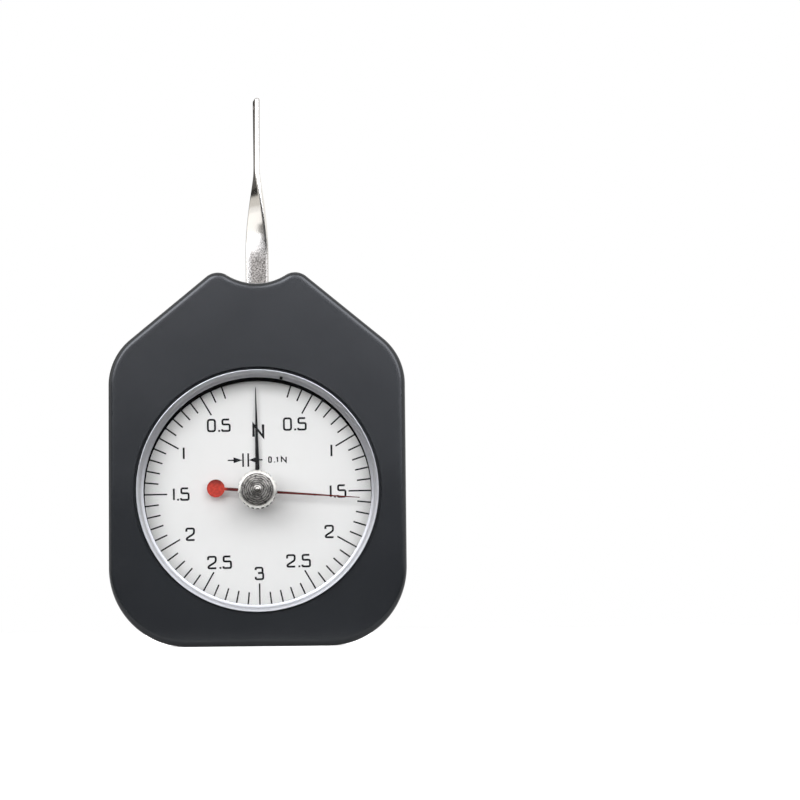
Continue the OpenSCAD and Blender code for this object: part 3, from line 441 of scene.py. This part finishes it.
def rounded(points, r, closed):
    """A path whose corners are quadratic curves: each corner c becomes (1-t)^2 p + 2t(1-t) c + t^2 q,
    with p and q at r from c."""
    p = np.array(points, float)
    if r == 0:
        return p
    ends = []
    for way in (1, -1):
        d = np.roll(p, way, 0) - p
        length = np.linalg.norm(d, axis=1, keepdims=True)
        ends.append(p + d / length * np.minimum(r, CORNER_SHARE * length))
    t = np.linspace(0, 1, 6)[None, :, None]
    curves = (1 - t) ** 2 * ends[0][:, None] + 2 * t * (1 - t) * p[:, None] + t ** 2 * ends[1][:, None]
    if closed:
        return curves.reshape(-1, 2)
    return np.concatenate([p[:1], curves[1:-1].reshape(-1, 2), p[-1:]])


def printed(p, y):
    """Points of the print turned about its middle, moved to its place on the dial and set at the depth y."""
    c, s = np.cos(PRINT_TURN), np.sin(PRINT_TURN)
    q = p @ np.array([[c, s], [-s, c]]) + PRINT_AT
    return np.stack([q[:, 0], np.full(len(q), y), q[:, 1]], 1)


def stroke(path, width, closed=False, depth=INK_Y):
    """An ink stroke: a four-cornered section carried along a path in x and z. Each corner of the path is
    moved by half the width along the mean of its two normals, lengthened so that both sides stay
    parallel."""
    p = np.array(path, float)
    d = np.roll(p, -1, 0) - p
    d /= np.maximum(np.linalg.norm(d, axis=1, keepdims=True), 1e-9)
    if not closed:
        d[-1] = d[-2]
    e = np.roll(d, 1, 0)
    if not closed:
        e[0] = d[0]
    n = np.stack([-d[:, 1] - e[:, 1], d[:, 0] + e[:, 0]], 1)
    n /= np.maximum((n * n).sum(1, keepdims=True) / 2, 0.25)
    left, right = p + n * width / 2, p - n * width / 2
    front, back = depth
    rows = np.stack([printed(left, front), printed(right, front),
                     printed(right, back), printed(left, back)], 1)
    if closed:
        return rows_patch(np.concatenate([rows, rows[:1]]))
    points, faces = rows_patch(rows)
    last = len(points) - 4
    return points, np.concatenate([faces, [[3, 2, 1, 0], [last, last + 1, last + 2, last + 3]]])


def arrow_head(tip, back, z):
    """A filled triangle from its tip to its back, solid between the two ink depths."""
    p = np.array([(tip, z), (back, z + HEAD_REACH), (back, z), (back, z - HEAD_REACH)])
    points = np.concatenate([printed(p, y) for y in INK_Y])
    faces = [[0, 1, 2, 3], [4, 7, 6, 5], [0, 4, 5, 1], [1, 5, 6, 2], [2, 6, 7, 3], [3, 7, 4, 0]]
    return points, np.array(faces)


def lettering(text, at, height, width, gap=0.36, spread=1):
    """Strokes of a number or unit sign, centred at a place from the print's middle; spread widens its
    letters."""
    total = sum(ADVANCE[c] * spread for c in text) + gap * (len(text) - 1)
    x, strokes = -total / 2, []
    for c in text:
        for closed, r, points in GLYPHS[c]:
            path = (rounded(points, r, closed) * [spread, 1] + [x, -0.5]) * height + at
            strokes.append(stroke(path, width, closed))
        x += ADVANCE[c] * spread + gap
    return strokes


def dial_print(material):
    """Printed scale: a tick every 6 degrees except near zero, longer at every half newton, the numbers
    beside them, the unit, and the small sign for the value of one step."""
    strokes = []
    for degrees in range(TICK_FIRST, TICK_LAST + 1, TICK_STEP):
        a = np.radians(degrees)
        d = np.array([np.sin(a), np.cos(a)])
        inner = TICK_LONG if degrees % TICK_HALF_NEWTON == 0 else TICK_SHORT
        strokes.append(stroke([d * inner, d * TICK_OUT], TICK_W))
    for text, left, right, z in NUMBERS:
        for x in (left, right):
            strokes += lettering(text, (x, z), NUMBER_H, NUMBER_W)
    strokes += lettering("3", LAST_NUMBER_AT, NUMBER_H, NUMBER_W)
    strokes += lettering("N", UNIT_AT, UNIT_H, UNIT_W)
    strokes += lettering("0.I", (VALUE_X, SIGN_Z), SIGN_H, SIGN_W, gap=0.64, spread=0.78)
    strokes += lettering("N", VALUE_UNIT_AT, SIGN_H, SIGN_W, spread=1.15)
    strokes += [stroke([(start, SIGN_Z), (end, SIGN_Z)], SHAFT_W) for start, end in SHAFTS_X]
    strokes += [stroke([(x, SIGN_Z - BAR_REACH), (x, SIGN_Z + BAR_REACH)], BAR_W) for x in BARS_X]
    strokes += [arrow_head(tip, back, SIGN_Z) for tip, back in HEADS_X]
    return solid("dial_print", strokes, material, "case", crease=20)


def ring_split(material):
    """Dark gap where the two ends of the bezel's inner lip meet: a short stroke along the lip."""
    a = np.radians(SPLIT_BEARING)
    path = np.stack([np.sin(a), np.cos(a)], 1) * SPLIT_R
    return solid("ring_split", [stroke(path, SPLIT_W, depth=SPLIT_Y)], material, "case")


# Materials

def linear(code):
    """sRGB hex to linear: a channel c is c / 12.92 up to 0.04045 and ((c + 0.055) / 1.055) ^ 2.4 above."""
    c = np.array([int(code[i:i + 2], 16) for i in (1, 3, 5)]) / 255
    return (*np.where(c <= 0.04045, c / 12.92, ((c + 0.055) / 1.055) ** 2.4), 1.0)


def add(tree, kind, settings=None, **sockets):
    """Adds one node with its settings. Each socket, given by name or as _ and its number, gets a value or
    a link from another node's socket."""
    node = tree.nodes.new(kind)
    for name, value in (settings or {}).items():
        setattr(node, name, value)
    for name, value in sockets.items():
        socket = node.inputs[int(name[1:])] if name[0] == "_" else node.inputs[name.replace("_", " ")]
        if isinstance(value, bpy.types.NodeSocket):
            tree.links.new(value, socket)
        else:
            socket.default_value = value
    return node


# Settings of nodes that are used often
COLOUR = {"data_type": "RGBA"}
NUMBER = {"data_type": "FLOAT"}
SOFT = {"interpolation_type": "SMOOTHSTEP"}
TIMES = {"operation": "MULTIPLY"}
LARGER = {"operation": "MAXIMUM"}
LENGTH = {"operation": "LENGTH"}


def bare_finish(name):
    """A new material, its emptied node tree, and the place on the piece as a vector socket."""
    material = bpy.data.materials.new(name)
    material.use_nodes = True
    tree = material.node_tree
    tree.nodes.clear()
    return material, tree, add(tree, "ShaderNodeTexCoord").outputs["Object"]


def per_mm(size):
    """Scale of a pattern whose features are size mm wide, for coordinates in metres."""
    return 1 / (size * MM)


def moulded_abs(name, low, high):
    """Black ABS moulded in a spark-eroded tool: an even, dull black with a soft sheen and a very fine
    grain."""
    material, tree, place = bare_finish(name)
    # Real spark-eroded grain is about 0.05 mm; it is drawn at 0.3 mm so that it shows
    grain = add(tree, "ShaderNodeTexNoise", Vector=place, Scale=per_mm(0.3), Detail=2.0)
    cloud = add(tree, "ShaderNodeTexNoise", Vector=place, Scale=per_mm(14), Detail=3.0)
    rough = add(tree, "ShaderNodeMapRange", Value=cloud.outputs["Fac"], To_Min=0.23, To_Max=0.28)
    bump = add(tree, "ShaderNodeBump", Height=grain.outputs["Fac"], Strength=0.25, Distance=0.02 * MM)
    tone = add(tree, "ShaderNodeMix", COLOUR, _0=cloud.outputs["Fac"], _6=linear(low), _7=linear(high))
    shader = add(tree, "ShaderNodeBsdfPrincipled", Base_Color=tone.outputs[2], IOR=1.53,
                 Roughness=rough.outputs["Result"], Normal=bump.outputs["Normal"])
    add(tree, "ShaderNodeOutputMaterial", Surface=shader.outputs["BSDF"])
    return material


def plain_metal(name, low, high, grain_mm, rough_low, rough_high):
    """A machined, ground or plated metal: a cloudy tone and roughness at the size of its tool marks, with
    a slight relief."""
    material, tree, place = bare_finish(name)
    marks = add(tree, "ShaderNodeTexNoise", Vector=place, Scale=per_mm(grain_mm), Detail=3.0)
    rough = add(tree, "ShaderNodeMapRange", Value=marks.outputs["Fac"], To_Min=rough_low, To_Max=rough_high)
    bump = add(tree, "ShaderNodeBump", Height=marks.outputs["Fac"], Strength=0.4, Distance=0.006 * MM)
    tone = add(tree, "ShaderNodeMix", COLOUR, _0=marks.outputs["Fac"], _6=linear(low), _7=linear(high))
    shader = add(tree, "ShaderNodeBsdfPrincipled", Base_Color=tone.outputs[2], Metallic=1.0,
                 Roughness=rough.outputs["Result"], Normal=bump.outputs["Normal"])
    add(tree, "ShaderNodeOutputMaterial", Surface=shader.outputs["BSDF"])
    return material


def nickel_strip():
    """Nickel-plated spring steel strip: speckled and satin on its flats, smoother where it is twisted and
    along its edges, and lightened there to near white as a painted highlight."""
    material, tree, place = bare_finish("nickel-plated spring steel, tumbled satin")
    speck = add(tree, "ShaderNodeTexNoise", Vector=place, Scale=per_mm(0.34), Detail=1.0).outputs["Fac"]
    height = add(tree, "ShaderNodeSeparateXYZ", Vector=place).outputs["Z"]
    up = add(tree, "ShaderNodeMapRange", SOFT, Value=height, From_Min=(TWIST_LOW - 2.5) * MM,
             From_Max=(TWIST_LOW + 5) * MM)
    down = add(tree, "ShaderNodeMapRange", SOFT, Value=height, From_Min=(TWIST_HIGH + 2) * MM,
               From_Max=(TWIST_HIGH + 7) * MM, To_Min=1.0, To_Max=0.0)
    twisted = add(tree, "ShaderNodeMath", TIMES, _0=up.outputs["Result"], _1=down.outputs["Result"])
    # The painted highlight along the edges is wider on the left, so it is measured from a line a little right
    # of the strip's middle
    across = add(tree, "ShaderNodeMapping", Vector=place, Scale=(1, 1, 0),
                 Location=(-0.35 * MM, -LEVER_Y * MM, 0))
    out = add(tree, "ShaderNodeVectorMath", LENGTH, _0=across.outputs["Vector"])
    edge = add(tree, "ShaderNodeMapRange", SOFT, Value=out.outputs["Value"], From_Min=1.45 * MM,
               From_Max=2.45 * MM, To_Max=0.9)
    smooth_and_highlight = add(tree, "ShaderNodeMath", LARGER, _0=twisted.outputs[0], _1=edge.outputs["Result"]).outputs[0]
    flat_rough = add(tree, "ShaderNodeMapRange", Value=speck, From_Min=0.35, From_Max=0.65,
                     To_Min=0.26, To_Max=0.4)
    rough = add(tree, "ShaderNodeMix", NUMBER, _0=smooth_and_highlight, _2=flat_rough.outputs["Result"], _3=0.17)
    calm = add(tree, "ShaderNodeMapRange", Value=smooth_and_highlight, To_Min=0.5, To_Max=0.03)
    bump = add(tree, "ShaderNodeBump", Height=speck, Strength=calm.outputs["Result"], Distance=0.03 * MM)
    pits = add(tree, "ShaderNodeMapRange", Value=speck, From_Min=0.32, From_Max=0.6).outputs["Result"]
    flat = add(tree, "ShaderNodeMix", COLOUR, _0=pits, _6=linear("#5a5651"), _7=linear("#918c86"))
    # Near white where twisted and along the edges: a painted highlight; the flats stay a dark speckled grey
    tone = add(tree, "ShaderNodeMix", COLOUR, _0=smooth_and_highlight, _6=flat.outputs[2], _7=linear("#ebe7e1"))
    shader = add(tree, "ShaderNodeBsdfPrincipled", Base_Color=tone.outputs[2], Metallic=1.0,
                 Roughness=rough.outputs[0], Normal=bump.outputs["Normal"])
    add(tree, "ShaderNodeOutputMaterial", Surface=shader.outputs["BSDF"])
    return material


def turned_nickel():
    """Nickel-plated brass turned on a lathe: fine rings round the axis on the worn face, a near-white rim
    that is a painted highlight, and near black in the grooves of the knurl as painted shade."""
    material, tree, place = bare_finish("nickel-plated brass, turned and knurled")
    centred = add(tree, "ShaderNodeMapping", Vector=place, Location=(0, 0, -DIAL_Z * MM)).outputs["Vector"]
    # Turning marks are about 0.05 mm apart; they are drawn at 0.45 mm so that they show
    rings = add(tree, "ShaderNodeTexWave", {"wave_type": "RINGS", "rings_direction": "Y"}, Vector=centred,
                Scale=2 * np.pi * per_mm(0.45) / 20, Distortion=4.0, Detail=4.0, Detail_Scale=2.0)
    wear = add(tree, "ShaderNodeTexNoise", Vector=place, Scale=per_mm(1.1), Detail=4.0).outputs["Fac"]
    rough = add(tree, "ShaderNodeMapRange", Value=wear, To_Min=0.2, To_Max=0.36)
    bump = add(tree, "ShaderNodeBump", Height=rings.outputs["Fac"], Strength=0.3, Distance=0.02 * MM)
    marks = add(tree, "ShaderNodeMix", NUMBER, _0=0.6, _2=rings.outputs["Fac"], _3=wear)
    streak = add(tree, "ShaderNodeMapRange", Value=marks.outputs[0], From_Min=0.3, From_Max=0.75)
    across = add(tree, "ShaderNodeVectorMath", TIMES, _0=centred, _1=(1, 0, 1)).outputs["Vector"]
    out = add(tree, "ShaderNodeVectorMath", LENGTH, _0=across).outputs["Value"]
    # Near white from the chamfer outwards: a painted highlight on the rim
    rim = add(tree, "ShaderNodeMapRange", Value=out, From_Min=(KNOB_R - 0.6) * MM,
              From_Max=(KNOB_R - 0.45) * MM).outputs["Result"]
    # Near black in the knurl's grooves behind the chamfer: painted shade
    deep = add(tree, "ShaderNodeMapRange", Value=out, From_Min=(KNOB_R - 0.1) * MM,
               From_Max=(KNOB_R + 0.1) * MM, To_Min=1.0, To_Max=0.0)
    depth = add(tree, "ShaderNodeSeparateXYZ", Vector=place).outputs["Y"]
    behind = add(tree, "ShaderNodeMapRange", Value=depth, From_Min=(KNOB_Y + 0.55) * MM,
                 From_Max=(KNOB_Y + 0.75) * MM)
    groove_shade = add(tree, "ShaderNodeMath", TIMES, _0=deep.outputs["Result"], _1=behind.outputs["Result"])
    face = add(tree, "ShaderNodeMix", COLOUR, _0=streak.outputs["Result"],
               _6=linear("#45423f"), _7=linear("#b9b5ad"))
    bright = add(tree, "ShaderNodeMix", COLOUR, _0=rim, _6=face.outputs[2], _7=linear("#f6f4ef"))
    tone = add(tree, "ShaderNodeMix", COLOUR, _0=groove_shade.outputs[0], _6=bright.outputs[2],
               _7=linear("#1c1b1a"))
    shader = add(tree, "ShaderNodeBsdfPrincipled", Base_Color=tone.outputs[2], Metallic=1.0,
                 Roughness=rough.outputs["Result"], Normal=bump.outputs["Normal"])
    add(tree, "ShaderNodeOutputMaterial", Surface=shader.outputs["BSDF"])
    return material


def painted(name, low, high, grain_mm, rough, shine=0.5):
    """Sprayed paint, printed ink, or the matt black of the painted shade ring and the lip's gap: an even
    colour with a faint mottle and an orange-peel relief."""
    material, tree, place = bare_finish(name)
    mottle = add(tree, "ShaderNodeTexNoise", Vector=place, Scale=per_mm(grain_mm), Detail=3.0)
    bump = add(tree, "ShaderNodeBump", Height=mottle.outputs["Fac"], Strength=0.15, Distance=0.02 * MM)
    tone = add(tree, "ShaderNodeMix", COLOUR, _0=mottle.outputs["Fac"], _6=linear(low), _7=linear(high))
    shader = add(tree, "ShaderNodeBsdfPrincipled", Base_Color=tone.outputs[2], Roughness=rough,
                 Specular_IOR_Level=shine, Normal=bump.outputs["Normal"])
    add(tree, "ShaderNodeOutputMaterial", Surface=shader.outputs["BSDF"])
    return material


def red_hand_lacquer():
    """Red lacquer on the drag hand: bright and mottled on the disc, brighter towards its lower side and
    darker towards its top, and dark red along the arm."""
    material, tree, place = bare_finish("red lacquer, drag hand")
    tail = np.radians(DRAG_REST + 180)
    disc = (-DRAG_TAIL * np.sin(tail) * MM, 0, -(DIAL_Z + DRAG_TAIL * np.cos(tail)) * MM)
    across = add(tree, "ShaderNodeMapping", Vector=place, Location=disc, Scale=(1, 0, 1)).outputs["Vector"]
    away = add(tree, "ShaderNodeVectorMath", LENGTH, _0=across).outputs["Value"]
    arm = add(tree, "ShaderNodeMapRange", SOFT, Value=away, From_Min=(DRAG_DISC_R - 0.2) * MM,
              From_Max=(DRAG_DISC_R + 0.9) * MM).outputs["Result"]
    mottle = add(tree, "ShaderNodeTexNoise", Vector=place, Scale=per_mm(0.55), Detail=3.0).outputs["Fac"]
    bump = add(tree, "ShaderNodeBump", Height=mottle, Strength=0.15, Distance=0.02 * MM)
    above = add(tree, "ShaderNodeSeparateXYZ", Vector=across).outputs["Z"]
    # The disc is brighter towards its lower side and darker towards its top; the arm is a dark red
    lower_side = add(tree, "ShaderNodeMapRange", SOFT, Value=above, From_Min=2.1 * MM, From_Max=0.2 * MM)
    spots = add(tree, "ShaderNodeMapRange", Value=mottle, From_Min=0.3, From_Max=0.7, To_Min=0.4)
    disc_mix = add(tree, "ShaderNodeMath", TIMES, _0=lower_side.outputs["Result"], _1=spots.outputs["Result"]).outputs[0]
    disc_tone = add(tree, "ShaderNodeMix", COLOUR, _0=disc_mix, _6=linear("#6c140d"), _7=linear("#dc4330"))
    arm_tone = add(tree, "ShaderNodeMix", COLOUR, _0=mottle, _6=linear("#4c100d"), _7=linear("#6a1814"))
    tone = add(tree, "ShaderNodeMix", COLOUR, _0=arm, _6=disc_tone.outputs[2], _7=arm_tone.outputs[2])
    shader = add(tree, "ShaderNodeBsdfPrincipled", Base_Color=tone.outputs[2], Roughness=0.45,
                 Specular_IOR_Level=0.12, Normal=bump.outputs["Normal"])
    add(tree, "ShaderNodeOutputMaterial", Surface=shader.outputs["BSDF"])
    return material


def clear_acrylic():
    """Cast acrylic sheet, polished: clear, with a faint mirror of the room. Light from the lamps and the
    room passes straight to the dial."""
    material, tree, place = bare_finish("cast acrylic, polished clear")
    haze = add(tree, "ShaderNodeTexNoise", Vector=place, Scale=per_mm(6), Detail=2.0)
    rough = add(tree, "ShaderNodeMapRange", Value=haze.outputs["Fac"], To_Min=0.0, To_Max=0.02)
    glass = add(tree, "ShaderNodeBsdfPrincipled", Base_Color=linear("#ffffff"), Transmission_Weight=1.0,
                IOR=1.49, Roughness=rough.outputs["Result"])
    passing = add(tree, "ShaderNodeBsdfTransparent").outputs["BSDF"]
    rays = add(tree, "ShaderNodeLightPath").outputs
    soft = add(tree, "ShaderNodeMixShader", _0=rays["Is Diffuse Ray"], _1=glass.outputs["BSDF"], _2=passing)
    clear = add(tree, "ShaderNodeMixShader", _0=rays["Is Shadow Ray"], _1=soft.outputs["Shader"], _2=passing)
    add(tree, "ShaderNodeOutputMaterial", Surface=clear.outputs["Shader"])
    return material


finishes = {
    "case_plastic": moulded_abs("ABS, moulded, spark-eroded satin", "#14171b", "#181b1f"),
    "cover_plastic": moulded_abs("ABS, moulded, rear half", "#15181c", "#191c20"),
    "screw_steel": plain_metal("steel screw, zinc-plated", "#8f9092", "#b6b6b4", 0.5, 0.3, 0.45),
    "ring_metal": plain_metal("aluminium, turned and satin-anodised", "#cbccd0", "#d8d9dd", 0.6, 0.34, 0.42),
    "lens_clear": clear_acrylic(),
    "brass": plain_metal("brass, machined", "#b58d48", "#c9a45c", 0.5, 0.25, 0.4),
    "spring_steel": plain_metal("spring steel, blued", "#4d5360", "#666c78", 0.6, 0.25, 0.4),
    "knob_metal": turned_nickel(),
    "arbor_steel": plain_metal("silver steel, ground", "#a3a5a8", "#bcbdbf", 0.4, 0.22, 0.35),
    "red_paint": red_hand_lacquer(),
    "dial_paint": painted("white enamel, stoved matt", "#ececeb", "#f0f0ef", 3.0, 0.55),
    "black_paint": painted("black lacquer, matt", "#131314", "#1a1a1b", 0.6, 0.5, shine=0.12),
    "lever_steel": nickel_strip(),
}
ink = painted("printing ink, black", "#161618", "#1e1e20", 0.5, 0.6, shine=0.12)
# Matt black for the ring of painted shade in the well and for the gap in the bezel's lip
dull_black = painted("matt black, painted shade ring and lip gap", "#0c0c0d", "#121213", 0.8, 1.0, shine=0.0)

# Pieces

for subpart in frame["record"]["subparts"]:
    node = frame["nodes"][subpart["node"]]
    for slot in node.material_slots:
        slot.material = finishes[subpart["material_slot"]]

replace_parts(front_shell(finishes["case_plastic"]), "front_housing")
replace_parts(rear_shell(finishes["cover_plastic"]), "rear_cover")
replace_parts(bezel(finishes["ring_metal"]), "lens_ring")
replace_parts(knob(finishes["knob_metal"]), "reset_knob")
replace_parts(lever(finishes["lever_steel"]), "feeler_lever")
# Painted shade: a matt black ring in the well, widest at the top
shade_ring(dull_black)
ring_split(dull_black)
dial_print(ink)


# Stage, in metres

def sheet(name, corners, material):
    """A flat four-cornered stage sheet."""
    mesh = bpy.data.meshes.new(name)
    mesh.from_pydata(corners, [], [(0, 1, 2, 3)])
    mesh.materials.append(material)
    card = bpy.data.objects.new(name, mesh)
    bpy.context.scene.collection.objects.link(card)
    return card


def level_corners(left, right, near, far, height):
    """Corners of a level sheet."""
    return [(left, near, height), (right, near, height), (right, far, height), (left, far, height)]


def white_floor():
    """White seamless paper: the camera sees it near white, with the shadow left in."""
    material, tree, place = bare_finish("seamless paper, white")
    fibre = add(tree, "ShaderNodeTexNoise", Vector=place, Scale=per_mm(2), Detail=2.0).outputs["Fac"]
    rays = add(tree, "ShaderNodeLightPath")
    glow = add(tree, "ShaderNodeMath", TIMES, _0=rays.outputs["Is Camera Ray"], _1=0.55)
    tone = add(tree, "ShaderNodeMix", COLOUR, _0=fibre, _6=linear("#f5f5f5"), _7=linear("#f9f9f9"))
    shader = add(tree, "ShaderNodeBsdfPrincipled", Base_Color=tone.outputs[2], Roughness=0.9,
                 Emission_Color=linear("#ffffff"), Emission_Strength=glow.outputs[0])
    add(tree, "ShaderNodeOutputMaterial", Surface=shader.outputs["BSDF"])
    return material


floor = sheet("floor", level_corners(-3, 3, -3, 3, 0), white_floor())
floor.visible_diffuse = False


def card_paint(name, code, strength=1.0):
    """A card or lit panel of one tone, which lamps don't change."""
    material, tree = bare_finish(name)[:2]
    tone = add(tree, "ShaderNodeEmission", Color=linear(code), Strength=strength)
    add(tree, "ShaderNodeOutputMaterial", Surface=tone.outputs["Emission"])
    return material


def flag(name, material, corners):
    """A card that only reflections and the view through the lens show."""
    card = sheet(name, corners, material)
    card.visible_camera = card.visible_diffuse = card.visible_shadow = False


def upright(start, end, low, high, distance=1.1, lean=0):
    """Corners of an upright card at a distance from the lever's line, between two bearings in degrees
    counted from the viewer round by the left; its top edge is carried further round by the lean."""
    a = np.radians([start, end, end + lean, start + lean])
    return list(zip(-distance * np.sin(a), -distance * np.cos(a), [low, low, high, high]))


black_card, white_panel = card_paint("card, black", "#1e1e1e"), card_paint("panel, white", "#f3f6ff", 6.8)
# In front, black cards keep the flat front of the case dark, and a grey one lies on the table
flag("flag_front", black_card, upright(-40, 40, -1.2, 0.15))
flag("flag_near", black_card, upright(-40, 40, 0.0, 0.07, distance=0.33))
flag("flag_table", card_paint("card, table grey", "#6e6e6e"), level_corners(-1.5, 0.6, -1.0, -0.034, 0.001))
# Above them, lit panels with a grey slit between them give the ring and the lever their bright parts
flag("panel_left", white_panel, upright(4, 40, 0.15, 1.2))
flag("panel_right", card_paint("panel, dim white", "#f3f6ff", 5.4), upright(-40, -5, 0.15, 1.2))
flag("panel_side", card_paint("panel, side", "#ffffff", 1.25), upright(40, 90, 0.1, 1.2))
flag("flag_slit", card_paint("card, mid grey", "#7c7c7c"), upright(-5, 4, 0.15, 1.2))
# On the left, greys for the turning flat of the lever, from the viewer round to the back
flag("flag_low", card_paint("card, grey", "#8c8a88"), upright(28, 62, 0.0, 0.16, distance=0.8))
flag("flag_lower", card_paint("card, dark grey", "#5c5a58"), upright(28, 66, 0.0, 0.09, distance=0.7))
flag("panel_lever", card_paint("panel, lever", "#ffffff", 0.95), upright(4, 32, 0.18, 0.285, distance=1.05))
flag("flag_left", card_paint("card, light grey", "#d9d7d3"), upright(94, 117, -0.3, 0.9, lean=16))
flag("flag_back", black_card, upright(117, 135, -0.3, 0.9, lean=16))
flag("flag_far", card_paint("card, mid dark grey", "#5e5c5a"), upright(135, 184, -0.3, 0.9, lean=8))

# The room: plain white to the eye and in reflections, and a soft light that is stronger from above
world = bpy.data.worlds.new("studio")
bpy.context.scene.world = world
world.use_nodes = True
room = world.node_tree
room.nodes.clear()
direction = add(room, "ShaderNodeTexCoord").outputs["Generated"]
height = add(room, "ShaderNodeSeparateXYZ", Vector=direction).outputs["Z"]
level = add(room, "ShaderNodeMapRange", SOFT, Value=height, From_Min=-0.6, From_Max=0.9,
            To_Min=0.18, To_Max=0.5)
rays = add(room, "ShaderNodeLightPath").outputs
seen = add(room, "ShaderNodeMath", LARGER, _0=rays["Is Camera Ray"], _1=rays["Is Glossy Ray"])
seen = add(room, "ShaderNodeMath", LARGER, _0=seen.outputs[0], _1=rays["Is Transmission Ray"])
strength = add(room, "ShaderNodeMix", NUMBER, _0=seen.outputs[0], _2=level.outputs["Result"], _3=1.0)
background = add(room, "ShaderNodeBackground", Color=linear("#ffffff"), Strength=strength.outputs[0])
add(room, "ShaderNodeOutputWorld", Surface=background.outputs["Background"])

LAMP_TARGET = Vector((0, 0, 0.045))


def softbox(name, place, width, height, watts):
    """A rectangular lamp at a place, turned to face the middle of the gauge."""
    lamp = bpy.data.lights.new(name, "AREA")
    lamp.shape, lamp.size, lamp.size_y, lamp.energy = "RECTANGLE", width, height, watts
    box = bpy.data.objects.new(name, lamp)
    facing = (LAMP_TARGET - Vector(place)).to_track_quat("-Z", "Y")
    box.matrix_world = Matrix.Translation(place) @ facing.to_matrix().to_4x4()
    box.visible_camera = box.visible_glossy = box.visible_transmission = False
    bpy.context.scene.collection.objects.link(box)


softbox("key", (-0.09, -0.9, 0.28), 1.25, 0.56, 8.2)
softbox("left", (-0.95, 0.1, 0.45), 0.5, 0.5, 3.0)
softbox("right", (0.95, 0.1, 0.45), 0.5, 0.5, 3.0)
softbox("back", (0.1, 1.0, 0.4), 0.5, 0.5, 4.5)

# Camera: 8 mm right of the gauge's centre line and just above the floor, turned so that the middle of the
# dial's window falls on its pixel, and rolled a little because the gauge leans to the left in the picture
PICTURE_PX, SENSOR_MM, FOCAL_PX = 800, 36, 2864.0
WINDOW_PX, ROLL = (257.6, 490.2), -0.007
eye = Vector((0.008, -0.6155, 0.004))
aim = Vector((0, -FRONT_DEPTH * MM, DIAL_Z * MM))
right, down = WINDOW_PX[0] - PICTURE_PX / 2, WINDOW_PX[1] - PICTURE_PX / 2
pixel = Vector((right / FOCAL_PX, -down / FOCAL_PX, -1)).normalized()
look = (aim - eye).to_track_quat("-Z", "Y") @ Quaternion((0, 0, 1), ROLL)
look = look @ pixel.rotation_difference(Vector((0, 0, -1)))
camera = bpy.data.objects.new("camera", bpy.data.cameras.new("camera"))
camera.data.sensor_width = SENSOR_MM
camera.data.lens = FOCAL_PX * SENSOR_MM / PICTURE_PX
camera.data.clip_start = 0.01
camera.matrix_world = Matrix.Translation(eye) @ look.to_matrix().to_4x4()
bpy.context.scene.collection.objects.link(camera)
bpy.context.scene.camera = camera

bpy.context.scene.view_settings.view_transform = "Standard"
